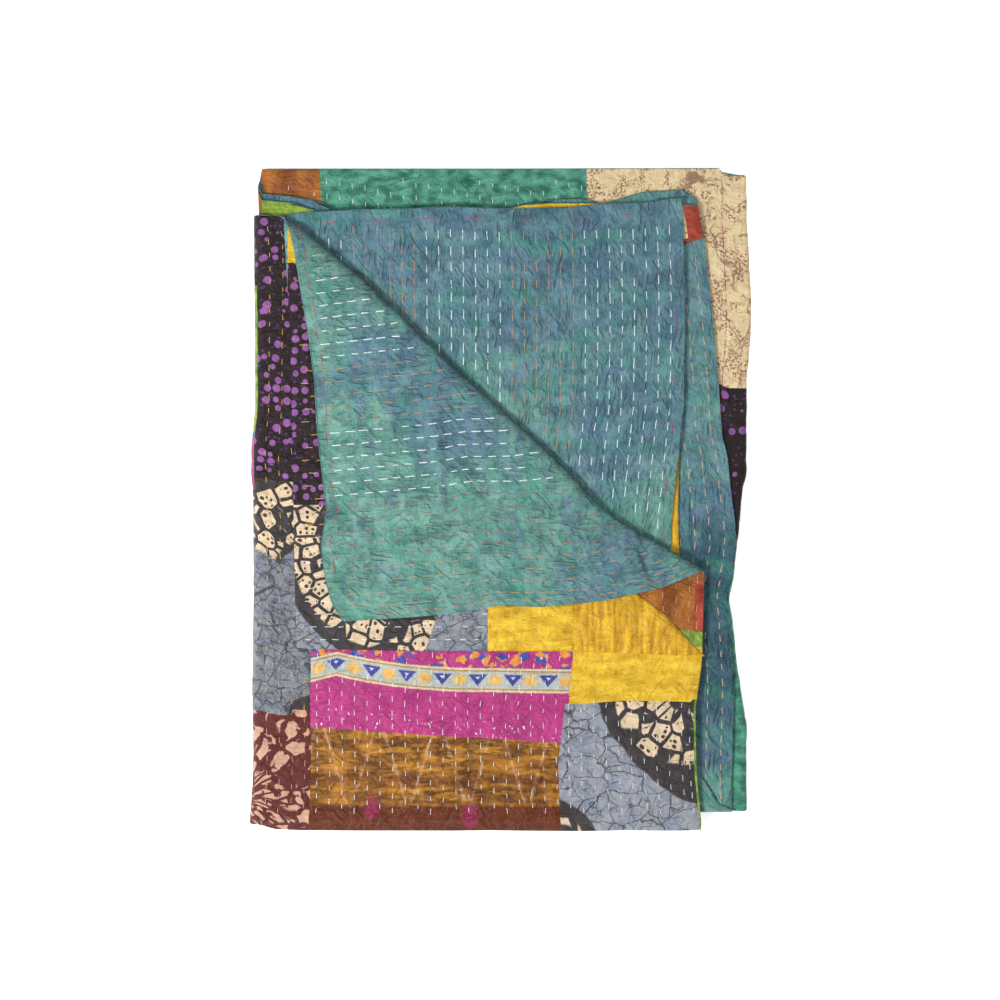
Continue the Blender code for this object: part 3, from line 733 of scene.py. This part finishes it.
# Lines are close where the cloth shows and up to 40 mm apart where it is hidden. That is too coarse for the
# hidden underside of the top strip at its sinking front edge: a known fault, its faces there pass through the
# strip below, inside the pile.
seams_u = [edge for row in PATCHES for edge in row[1:3] if 0 <= edge <= STRIP_LENGTH]
seams_v = [edge for row in PATCHES for edge in row[3:5]]
lines_u = pick_lines(
    (0, 539, 3.9), (567.3, 1155, 40), (1164.9, 1753, 8.0), (1762.5, 2230, 30), (2230, 2260.1, 5),
    extra=[
        *arc_lines(OUTER_FOLD, 16), *arc_lines(RIGHT_FOLD, 10), *arc_lines(INNER_FOLD, 8),
        STRIP_LENGTH, *seams_u,
    ],
)
lines_v = pick_lines(
    (2.6, 744, 4.0), (-690, -3, 40), (-744.9, -692, 4),
    extra=[*bottom_lines(11), PLY_DEPTH, -PLY_DEPTH, *seams_v],
)
flat_u, flat_v = np.meshgrid(lines_u, lines_v, indexing="ij")
sheet_u, sheet_v = lean(flat_u, flat_v)
plan_x, plan_y, _ = laid_out(sheet_u, sheet_v, np.ones_like(sheet_u))
on_top = (sheet_u < 553) & (sheet_v > 0) & (fold_distance(plan_x, plan_y) < 4)
on_base = (sheet_u > 1150) & (sheet_u < 1762) & (sheet_v > 0)
height = creases(sheet_u - 2.0, sheet_v, on_top | on_base) * np.clip((sheet_v - 1) / 12, 0.1, 1)
height = height - seam_depth(flat_u, flat_v) * (on_top | on_base)
height = np.where(on_base & ~on_top, height * 0.7, height)
# flatter at the front edge, and smooth on the lowest run, which lies on the table
height = np.where(plan_y < -397, np.minimum(height, 0.3), height)
height = np.where((sheet_u > 560) & (sheet_u < 1158), 0.0, height)
points = quilt_point(sheet_u, sheet_v, 1.0 + height)
uv = np.stack([PATTERN_X - sheet_u / 1000, PATTERN_Y + sheet_v / 1000], -1)
middle_u = (flat_u[:-1, :-1] + flat_u[1:, 1:]) / 2
middle_v = (flat_v[:-1, :-1] + flat_v[1:, 1:]) / 2
patchwork = grid_mesh("patchwork_face", points, uv, patch_numbers(middle_u, middle_v), flip=True)
dress(patchwork)
place_in_frame(patchwork)

# The backing: one dyed silk, sewn behind the patchwork. It shows on the turned corner, on the panel beyond the
# corner's fold and on the strip inside; the dye is bluer in the named soft spots.
# X, Y, reach in millimetres and strength of each bluer (+) or greener (-) place, as the folded pile lies
DYE_PANEL = (
    (60, 330, 190, 0.9), (210, 250, 90, 0.5), (160, 80, 90, 0.9), (30, 130, 90, -0.25), (160, 190, 70, -0.5),
    (190, 20, 60, -0.7), (-180, 320, 90, 0.4),
)
DYE_TURNED = (
    (-150, 160, 60, 0.9), (-60, 80, 60, 0.8), (-230, 200, 80, -0.4), (-180, 60, 60, -0.9), (-90, -30, 80, -0.5),
    (130, -85, 70, 0.4), (60, -40, 60, -0.3), (-150, -110, 90, -0.6),
)
DYE_INNER = (
    (256, 250, 60, 0.6), (262, 120, 70, 0.3), (275, -60, 80, 1.3), (275, -200, 90, 1.3), (270, -310, 50, 0.5),
    (270, -380, 36, -1.3),
    (-260, 370, 60, 0.7), (60, 372, 90, -0.2), (200, 372, 60, 0.3),
)


# Sharp pleats pressed into the backing: X and Y of both ends, depth, and how dark the painted shade in the
# crease is
PLEATS = (
    (167, -41, 170, -70, 1.2, 0.85), (170, -70, 180, -100, 1.2, 0.85), (150, -62, 176, -92, 0.9, 0.3),
    (-205, -78, -188, -112, 1.2, 0.35), (-176, -60, -150, -100, 1.1, 0.3), (-60, 40, -20, 2, 1.2, 0.3),
    (-128, 86, -126, -8, 1.1, 0.3), (-70, 66, -64, -34, 1.2, 0.35), (96, -24, 70, -70, 1.0, 0.25),
    (-92, 300, -60, 268, 1.2, 0.3), (66, 236, 88, 196, 1.1, 0.3), (-8, 214, 30, 182, 1.3, 0.35),
    (140, 150, 206, 118, 1.2, 0.3), (30, 120, 92, 96, 1.1, 0.3), (112, 60, 180, 74, 1.1, 0.25),
    (0, 250, 52, 262, 1.0, 0.25), (128, 300, 150, 250, 1.1, 0.25), (20, 340, 40, 296, 1.1, 0.3),
)


def pleat_share(x, y, middle_shift=0.0, width=2.6):
    """Largest share of any of the pleats at a place, with its depth and the darkness of its painted shade: a
    soft line between two ends.
    """
    depth, dark = np.zeros(x.shape), np.zeros(x.shape)
    for x0, y0, x1, y1, deep, shade in PLEATS:
        length = math.hypot(x1 - x0, y1 - y0)
        along = ((x - x0) * (x1 - x0) + (y - y0) * (y1 - y0)) / length
        aside = ((x - x0) * (y1 - y0) - (y - y0) * (x1 - x0)) / length - middle_shift
        beyond_ends = np.maximum(0, np.maximum(-along, along - length))
        share = np.exp(-((aside / width) ** 2) - (beyond_ends / 7.0) ** 2)
        depth, dark = np.maximum(depth, share * deep), np.maximum(dark, share * shade)
    return depth, dark


def dye_amount(x, y, spots):
    """Sum of soft round spots about a middle value."""
    total = np.full(x.shape, 0.35)
    for sx, sy, reach, strength in spots:
        total = total + strength * np.exp(-((x - sx) ** 2 + (y - sy) ** 2) / reach**2)
    return total


def inner_folds(u, v):
    """Long soft folds that run down the strip inside the pile, in millimetres."""
    return 1.1 * rumple(u / 13.0 + v / 240.0, v / 105.0, 7)


lines_u = pick_lines(
    (0, 539, 4.6), (567.3, 1155, 45), (1164.9, 1753, 45), (1762.5, 2190, 28), (2190, 2260.1, 4.5),
    extra=[*arc_lines(OUTER_FOLD, 10), *arc_lines(RIGHT_FOLD, 8), *arc_lines(INNER_FOLD, 12), STRIP_LENGTH],
)
lines_v = pick_lines(
    (2.6, 744, 4.6), (-744, -2.6, 4.6),
    extra=[*bottom_lines(7), PLY_DEPTH, -PLY_DEPTH],
)
sheet_u, sheet_v = np.meshgrid(lines_u, lines_v, indexing="ij")
plan_x, plan_y, _ = laid_out(sheet_u, sheet_v, -np.ones_like(sheet_u))
beyond = fold_distance(plan_x, plan_y)
on_turned = (sheet_u < 539) & (sheet_v > 3) & (beyond > 6)
on_panel = (sheet_u < 539) & (sheet_v < -3) & (beyond > 8)
on_inner = (sheet_u > 2150) & (sheet_v > 3)
bump = creases(sheet_u - 2.0, sheet_v, on_turned | on_panel | on_inner)
height = np.where(on_turned, bump * 0.95, 0.0)
height = np.where(on_panel, (bump - 0.15) * np.clip((beyond - 8) / 30, 0, 1), height)
height = np.where(on_inner, bump * 0.6 + inner_folds(sheet_u, sheet_v), height)
flat_place = quilt_point(sheet_u, sheet_v, np.full(sheet_u.shape, -1.0)) * 1000
shown = (on_turned | on_panel) & (sheet_u > 14)
# valley is the pleats' depth, dark their painted shade
valley, dark = pleat_share(flat_place[..., 0], flat_place[..., 1])
ridge, _ = pleat_share(flat_place[..., 0], flat_place[..., 1], 5.5, 3.6)
fade = np.where(on_panel, np.clip((beyond - 8) / 30, 0, 1), 1)
height = height + np.where(shown, 0.7 * ridge - valley, 0.0) * fade
height = np.maximum(height, DEEPEST_CREASE - 0.05)
dark = np.where(shown & (on_turned | (beyond > 14)), dark, 0.0)
# the strip inside the pile is darkest where the wall of the pile shades it
shaded = 0.34 * np.exp(-(((plan_y + 190) / 150) ** 2))
dark = np.maximum(dark, np.where(on_inner, shaded, 0.0))
# painted shade on the roll of the turned corner: darker where it curves down, most at its upper left, and a thin
# dark line at the fold's edge
roll_shade = (0.76 - 0.0009 * (plan_x + 260)) * np.exp(-np.clip(beyond - 8, 0, 99) / 9.0)
roll_shade = np.maximum(roll_shade, 0.9 * np.exp(-(((beyond - 4.0) / 3.5) ** 2)))
dark = np.maximum(dark, np.where((sheet_u < 539) & (sheet_v > 3) & (beyond > -1), roll_shade, 0.0))
points = quilt_point(sheet_u, sheet_v, -1.0 - height)
dye = np.where(sheet_v < 0, dye_amount(plan_x, plan_y, DYE_PANEL), 0.35)
where_now = points * 1000
dye = np.where(on_turned, dye_amount(where_now[..., 0], where_now[..., 1], DYE_TURNED), dye)
dye = np.where(sheet_u > 1740, dye_amount(plan_x, plan_y, DYE_INNER), dye)
uv = np.stack([PATTERN_X - sheet_u / 1000, sheet_v / 1000], -1)
backing = grid_mesh("backing", points, uv)
backing.data.materials.append(MATERIALS["backing"])
paint(backing, "dye", dye)
# the backing's painted shade: creases, the turned corner's roll and the inner strip in the pile's shade
paint(backing, "painted_shade", dark)
place_in_frame(backing)

# The hem: both cloths turned in and stitched all round. A narrow rounded edge strip of backing cloth that closes
# the gap between the patchwork and the backing along all four sides.
HEM_BULGE = 0.0009
HEM_STEPS = 7


def edge_strip(u, v, out_u, out_v):
    """A rounded strip along an edge of the cloth: across it the side goes from +1 to -1, bulging outwards."""
    turn = np.linspace(0, math.pi, HEM_STEPS)[None, :]
    side = np.cos(turn) * (1.06 + 0.10 * rumple(u / 19 + v / 17, u * 0, 5)[:, None])
    push = 0.9 * np.sin(turn)
    return quilt_point(u[:, None] + out_u * push, v[:, None] + out_v * push, side)


def hem_point_rows():
    """The four edges of the flat cloth, as rows of (u, v, outward u, outward v)."""
    along_u = pick_lines((0, STRIP_LENGTH, 6), extra=[STRIP_LENGTH])
    along_v = pick_lines((-PLY_DEPTH, PLY_DEPTH, 5), extra=[*bottom_lines(9), PLY_DEPTH])
    yield along_u, np.full(along_u.shape, PLY_DEPTH), 0, 0
    yield along_u[::-1], np.full(along_u.shape, -PLY_DEPTH), 0, 0
    yield np.zeros(along_v.shape), along_v, -1, 0
    yield np.full(along_v.shape, STRIP_LENGTH), along_v[::-1], 1, 0


total, quads, points, uvs = 0, [], [], []
for u, v, out_u, out_v in hem_point_rows():
    strip = edge_strip(u, v, out_u, out_v)
    if not out_u:
        bulge = np.sin(np.linspace(0, math.pi, HEM_STEPS))[None, :] * HEM_BULGE
        turned_part = (u < TOP[1] - 5) & (v > 0)
        strip[..., 1] += np.where(turned_part[:, None], 0, bulge)
        strip[..., 0] -= np.where(turned_part[:, None], bulge, 0)
    rows, columns = strip.shape[:2]
    quads.append(grid_quads(rows, columns, total))
    points.append(strip.reshape(-1, 3))
    run = np.cumsum(np.linalg.norm(np.diff(strip[:, 0], axis=0, prepend=strip[:1, 0]), axis=-1))
    uv = np.broadcast_arrays(run[:, None], np.linspace(0, 0.004, columns)[None, :])
    uvs.append(np.stack(uv, -1).reshape(-1, 2))
    total += rows * columns
hem = raw_mesh("hem", np.concatenate(points), np.concatenate(quads), np.concatenate(uvs))
hem.data.materials.append(MATERIALS["backing"])
paint(hem, "dye", np.full(total, 0.55))
place_in_frame(hem)

# The layer caught under the turned corner: part of the same quilt, its rows of stitches lying crosswise. It has
# a straight left edge and bottom edge, and a fold that slants up from the right; it stands 2.5 mm high.
UNDER_FOOT = 23.4
UNDER_THICK = 2.5
# Y, X of its left edge; X, Y of its bottom edge; X, Y of its fold
UNDER_LEFT = np.array((
    (345.0, -266.5), (341.0, -264.0), (200.0, -256.0), (24.0, -252.5), (-122.0, -250.0), (-184.0, -247.5),
))
UNDER_LOW = np.array(((-250.0, -181.0), (-100.0, -184.0), (87.0, -184.5), (170.0, -187.0), (248.0, -190.3)))
UNDER_FOLD = np.array((
    (-265.0, 345.0), (0.0, 68.0), (170.0, -117.0), (200.0, -139.0), (236.0, -178.0), (247.5, -189.0),
))
# material, X from and to, Y from and to; later rows lie over earlier ones
UNDER_PATCHES = (
    ("batik_under", -270, 250, -200, 350),
    ("dots", -270, -190, -6, 350),
    ("yellow", -262, -190, 289, 350),
    ("backing", -270, -259, 202, 350),
    ("yellow", -15, 87, -200, -100),
    ("gold", 87, 250, -200, -60),
)
lines_x = pick_lines((-268, 248, 4.0), extra=[-264.0, -259.0, -190.0, -15.0, 87.0, 248.5])
lines_y = pick_lines((-191, 346, 4.0), extra=[-100.0, -60.0, -6.0, 202.0, 289.0])
grid_x, grid_y = np.meshgrid(lines_x, lines_y, indexing="ij")
edge_x = np.interp(-grid_y, -UNDER_LEFT[:, 0], UNDER_LEFT[:, 1])
grid_x = np.maximum(grid_x, edge_x)
low = np.interp(grid_x, UNDER_LOW[:, 0], UNDER_LOW[:, 1])
high = np.interp(grid_x, UNDER_FOLD[:, 0], UNDER_FOLD[:, 1])
grid_y = np.clip(grid_y, low, np.maximum(high, low + 0.02))
rim = np.minimum(np.minimum(grid_x - edge_x, grid_y - low), (high - grid_y) * 0.72)
relief = creases(grid_y + 170.0, grid_x, True) * 0.8 * np.clip(rim / 5, 0, 1)
wrinkles = 0.5 * np.sin(grid_x / 4.1 + 2 * rumple(grid_x / 40, grid_y / 30, 6))
relief = relief + wrinkles * np.exp(-(((grid_x - 150) / 60) ** 2)) * np.clip(rim / 8, 0, 1)
# near the turned corner's own cloth the wrinkles flatten, because it presses on them
relief = np.where(grid_y > -118, np.minimum(relief, 0.35), relief)
top_z = UNDER_FOOT + UNDER_THICK * np.sqrt(np.clip(1 - (1 - np.clip(rim / 2.2, 0, 1)) ** 2, 0, 1)) + relief
points = settle(grid_x, grid_y, top_z)
cell_x = (grid_x[:-1, :-1] + grid_x[1:, 1:]) / 2
cell_y = (grid_y[:-1, :-1] + grid_y[1:, 1:]) / 2
slots = np.zeros(cell_x.shape, int)
for name, x0, x1, y0, y1 in UNDER_PATCHES:
    slots[(cell_x > x0) & (cell_x < x1) & (cell_y > y0) & (cell_y < y1)] = NAMES.index(name)
area = np.abs((grid_x[1:, :-1] - grid_x[:-1, :-1]) * (grid_y[:-1, 1:] - grid_y[:-1, :-1])).ravel()
quads = grid_quads(*grid_x.shape)
solid = area > 0.02
under = raw_mesh(
    "caught_layer", points.reshape(-1, 3), quads[solid],
    np.stack([grid_x, grid_y], -1).reshape(-1, 2) / 1000, slots.ravel()[solid],
)
paint(under, "dye", np.full(grid_x.size, 0.2))
dress(under)
place_in_frame(under)

# The quilting: running stitches of doubled cotton through all the cloth, 10 mm long with 7 mm between, in rows
# 15.6 mm apart; and longer red dashes that hold the hem. Each stitch is a small arched strip on the cloth.
THREADS = {
    "white": ("e9efee", 0.6), "orange": ("cf9064", 0.6), "yellow": ("dcb24a", 0.6), "red": ("a8405e", 0.6),
    "peach": ("d6ac88", 0.6),
}
THREAD_NAMES = list(THREADS)
chance = np.random.default_rng(21)


def thread_material(name, code, rough):
    """Matt twisted thread; fine slanting stripes on it are painted shade in the grooves between its strands."""
    cloth = Cloth("thread_" + name, rough, 0.1)
    twist_shade = ((cloth.x + cloth.y) * 3.1).math("SINE")
    colour = cloth.mix(twist_shade.over(0.0, 1.2) * 0.35, code, (*[c * 0.7 for c in tone(code)[:3]], 1.0))
    cloth.tree.links.new(colour.socket, cloth.shader.inputs["Base Color"])
    cloth.shader.inputs["Roughness"].default_value = rough
    return cloth.material


def row_of_stitches(start, end, length=10.0, period=STITCH_PERIOD, shift=0.0):
    """Middles and lengths of the stitches of a row, a little uneven as by hand."""
    middles = np.arange(start + period / 2 + shift % period, end - length / 2, period)
    middles = middles + chance.normal(0, 0.9, middles.shape)
    lengths = length * chance.uniform(0.78, 1.15, middles.shape)
    keep = chance.random(middles.shape) > 0.03
    return middles[keep], lengths[keep]


stitch_sets = []  # (points, colour number) for each group
STITCH_ALONG = np.array((-1.0, -0.72, 0.0, 0.72, 1.0))
STITCH_ACROSS = np.array((-0.5, 0.0, 0.5))
STITCH_RISE = 0.62
STITCH_SINK = 0.12


def add_stitches(place, across, along, lengths, colour, width=1.2):
    """Arched strips: place(across, along, lift) gives points in metres. A strip runs along the second, rises in
    its middle and sinks into the cloth at both ends."""
    if not len(along):
        return
    share = STITCH_ALONG[None, :, None]
    wide = STITCH_ACROSS[None, None, :]
    tilt = chance.normal(0, 0.22, len(along))[:, None, None]
    a = across[:, None, None] + wide * width + tilt * share
    b = along[:, None, None] + share * lengths[:, None, None] / 2 + 0 * wide
    lift = STITCH_RISE * (1 - share**6) * (1 - (2 * wide) ** 2) - STITCH_SINK * share**6
    a, b, lift = np.broadcast_arrays(a, b, lift)
    stitch_sets.append((place(a, b, lift), THREAD_NAMES.index(colour)))


def lay_row(place, at, stitches, colour, share=1.0, width=1.2, keep=slice(None)):
    """The kept stitches of a row that lies at one place across the cloth, shortened to a share."""
    middles, lengths = stitches[0][keep], stitches[1][keep]
    add_stitches(place, np.full(middles.shape, at), middles, lengths * share, colour, width)


def on_patchwork(a, b, lift):
    """A place on the patchwork face, above its creases."""
    return quilt_point(a, b, 1.0 + creases(a - 2.0, b, True) * np.clip((b - 1) / 12, 0.1, 1) + lift)


def on_turned_part(a, b, lift):
    """A place on the backing of the turned corner."""
    return quilt_point(a, b, -1.0 - creases(a - 2.0, b, True) * 0.95 - lift)


def on_panel_part(a, b, lift):
    """A place on the backing of the ply below. b counts depth from the bottom fold."""
    x, y, _ = laid_out(a, -b, -np.ones_like(a))
    fade = np.clip((fold_distance(x, y) - 8) / 30, 0, 1)
    return quilt_point(a, -b, -1.0 - (creases(a - 2.0, -b, True) - 0.15) * fade - lift)


def on_inner_strip(a, b, lift):
    """A place on the backing of the strip inside the pile, at the right."""
    return quilt_point(a, b, -1.0 - creases(a - 2.0, b, True) * 0.6 - inner_folds(a, b) - lift)


def on_base(a, b, lift):
    """A place on the patchwork face of the base."""
    return quilt_point(a, b, 1.0 + creases(a - 2.0, b, True) * 0.7 + lift)


def on_caught_layer(a, b, lift):
    """A place on the caught layer: b is X and a is Y."""
    bump = creases(a + 170.0, b, True) * 0.8
    bump = np.where(a > -118, np.minimum(bump, 0.35), bump)
    return settle(b, a, UNDER_FOOT + UNDER_THICK + bump + lift)


def fold_depth(u, inner):
    """Depth at which a row of the top strip meets the corner's fold."""
    depths = np.arange(5.0, 744.0, 2.0)
    x, y, _ = laid_out(np.full(depths.shape, float(u)), -depths if inner else depths, np.ones_like(depths))
    beyond = fold_distance(x, y) > 0
    return depths[beyond][0] if beyond.any() else PLY_DEPTH


# last row number, colour on the turned corner, colour on the panel, counted from the right
ROW_COLOURS = (
    (2, "orange", "white"), (4, "orange", "white"), (8, "red", "white"), (9, "red", "orange"),
    (14, "white", "orange"), (15, "white", "white"), (20, "orange", "white"), (21, "white", "white"),
    (27, "white", "orange"), (40, "yellow", "white"),
)
ROW_END = 735.0
for row in range(35):
    u = 2.0 + ROW_PITCH * row + (6.0 if row == 0 else 0.0)
    turned_colour, panel_colour = next((a, b) for last, a, b in ROW_COLOURS if row <= last)
    depth = fold_depth(u, False)
    stitches = row_of_stitches(16.0, min(depth - 4, ROW_END), shift=5.7 * row)
    middles = stitches[0]
    x, y, _ = laid_out(np.full(middles.shape, u), middles, np.ones(middles.shape))
    left = ~((x > -254) & (y > -186) & (y < np.interp(x, UNDER_FOLD[:, 0], UNDER_FOLD[:, 1]) + 3))
    # pale on the petals, on the brown corner and on the yellow patch, and white or yellow elsewhere
    for wanted, colour, share, width in (
        ((middles < 140) & (u > 478), "peach", 0.7, 0.7), ((middles > 219) & (u < 120), "peach", 1.0, 0.7),
        ((middles > 157) & (u < 160), "peach", 0.7, 0.7), (left, "yellow" if u > 478 else "white", 0.75, 0.75),
    ):
        keep = left & wanted
        lay_row(on_patchwork, u, stitches, colour, share, width, keep)
        left = left & ~keep
    if depth < 720:
        stitches = row_of_stitches(depth + 12, ROW_END, 11.5, 17.4, 3.1 * row)
        lay_row(on_turned_part, u, stitches, turned_colour, width=1.2 if turned_colour == "white" else 0.85)
        stitches = row_of_stitches(fold_depth(u, True) - 4, 728, 12.5, 19.2, 7.7 * row)
        if row > 0:
            lay_row(on_panel_part, u, stitches, panel_colour, width=1.05 if panel_colour == "white" else 0.85)
for row in range(4):
    u = STRIP_LENGTH - 12.0 - ROW_PITCH * row
    lay_row(on_inner_strip, u, row_of_stitches(12, 733, shift=4.3 * row), "peach", width=0.85)
# the rows that other cloth covers are drawn by chance too, but not laid
for row in range(36):
    u = 1175.0 + ROW_PITCH * row
    stitches = row_of_stitches(680.0 if u > 1240 else 20.0, 736, shift=2.9 * row)
    if u > 1362:
        lay_row(on_base, u, stitches, "white", 0.6, 0.7)
    elif row == 1:
        lay_row(on_base, u, stitches, "red", 1.6, 0.8)
for row in range(34):
    y = -170.0 + ROW_PITCH * row
    x_from = float(np.interp(-y, -UNDER_LEFT[:, 0], UNDER_LEFT[:, 1])) + 6
    x_to = float(np.interp(-y, -UNDER_FOLD[:, 1], UNDER_FOLD[:, 0])) - 8
    stitches = row_of_stitches(x_from, min(x_to, -190.0 if y > -118 else 245.0), shift=6.1 * row)
    x = stitches[0]
    silver = (x < -15) & (y < -30)
    lay_row(on_caught_layer, y, stitches, "white", 0.8, 0.8, silver)
    lay_row(on_caught_layer, y, stitches, "yellow", 1.0, 0.8, ~silver & (x < -190))
    lay_row(on_caught_layer, y, stitches, "peach", 0.7, 0.7, ~silver & (x >= -190))


def hem_dashes(place, edge, start, end, along_u):
    """Long red stitches beside an edge, from start to end; edge is the fixed coordinate."""
    laid = (lambda a, b, lift: place(b, a, lift)) if along_u else place
    lay_row(laid, edge, row_of_stitches(start, end, 24.0, 64.0, shift=edge), "red", width=1.0)


hem_dashes(on_turned_part, 733.0, 10, 500, True)
hem_dashes(on_turned_part, 735.0, 40, 500, True)
hem_dashes(on_turned_part, 8.0, 330, 735, False)
hem_dashes(on_panel_part, 732.0, 10, 500, True)
hem_dashes(on_panel_part, 11.5, 300, 735, False)

points = np.concatenate([group.reshape(-1, 3) for group, _ in stitch_sets])
one = grid_quads(len(STITCH_ALONG), len(STITCH_ACROSS))
in_one = len(STITCH_ALONG) * len(STITCH_ACROSS)
quads = np.concatenate([one + first for first in range(0, len(points), in_one)])
colours = np.concatenate([np.full(len(group) * len(one), colour) for group, colour in stitch_sets])
threads = raw_mesh("quilting_stitches", points, quads, points[:, :2], colours)
for name, (code, rough) in THREADS.items():
    threads.data.materials.append(thread_material(name, code, rough))
place_in_frame(threads)

# A plain white floor, soft studio light and a camera that looks straight down.
floor_mesh = bpy.data.meshes.new("floor")
floor_mesh.from_pydata([(-6, -6, 0), (6, -6, 0), (6, 6, 0), (-6, 6, 0)], [], [(0, 1, 2, 3)])
floor = bpy.data.objects.new("floor", floor_mesh)
bpy.context.scene.collection.objects.link(floor)
paper = bpy.data.materials.new("white_paper")
paper.use_nodes = True
sockets = paper.node_tree.nodes["Principled BSDF"].inputs
sockets["Base Color"].default_value = (0.93, 0.93, 0.93, 1)
sockets["Roughness"].default_value = 0.9
sockets["Emission Color"].default_value = (1, 1, 1, 1)
sockets["Emission Strength"].default_value = 0.65
floor_mesh.materials.append(paper)
floor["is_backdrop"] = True

world = bpy.data.worlds.new("studio")
world.use_nodes = True
world.node_tree.nodes["Background"].inputs["Color"].default_value = (1, 1, 1, 1)
world.node_tree.nodes["Background"].inputs["Strength"].default_value = 0.42
bpy.context.scene.world = world


def softbox(name, place, size, energy):
    """A square area light that looks at the quilt."""
    lamp = bpy.data.lights.new(name, "AREA")
    lamp.size, lamp.energy = size, energy
    thing = bpy.data.objects.new(name, lamp)
    thing.location = place
    thing.rotation_euler = (-Vector(place)).to_track_quat("-Z", "Y").to_euler()
    bpy.context.scene.collection.objects.link(thing)


softbox("key", (-1.5, -0.9, 1.9), 0.7, 66.0)
softbox("fill", (1.5, 1.7, 2.3), 1.6, 18.0)

CAMERA_HEIGHT = 2.92
SEEN_WIDTH = 1.22
camera_data = bpy.data.cameras.new("camera")
camera_data.sensor_width = 36.0
camera_data.lens = camera_data.sensor_width * (CAMERA_HEIGHT - 0.02) / SEEN_WIDTH
camera = bpy.data.objects.new("camera", camera_data)
camera.location = (-0.0005, -0.0005, CAMERA_HEIGHT)
bpy.context.scene.collection.objects.link(camera)
bpy.context.scene.camera = camera
bpy.context.scene.view_settings.view_transform = "Standard"

new_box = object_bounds()
{"cad": [list(corner) for corner in cad_box], "visual": [list(corner) for corner in new_box]}
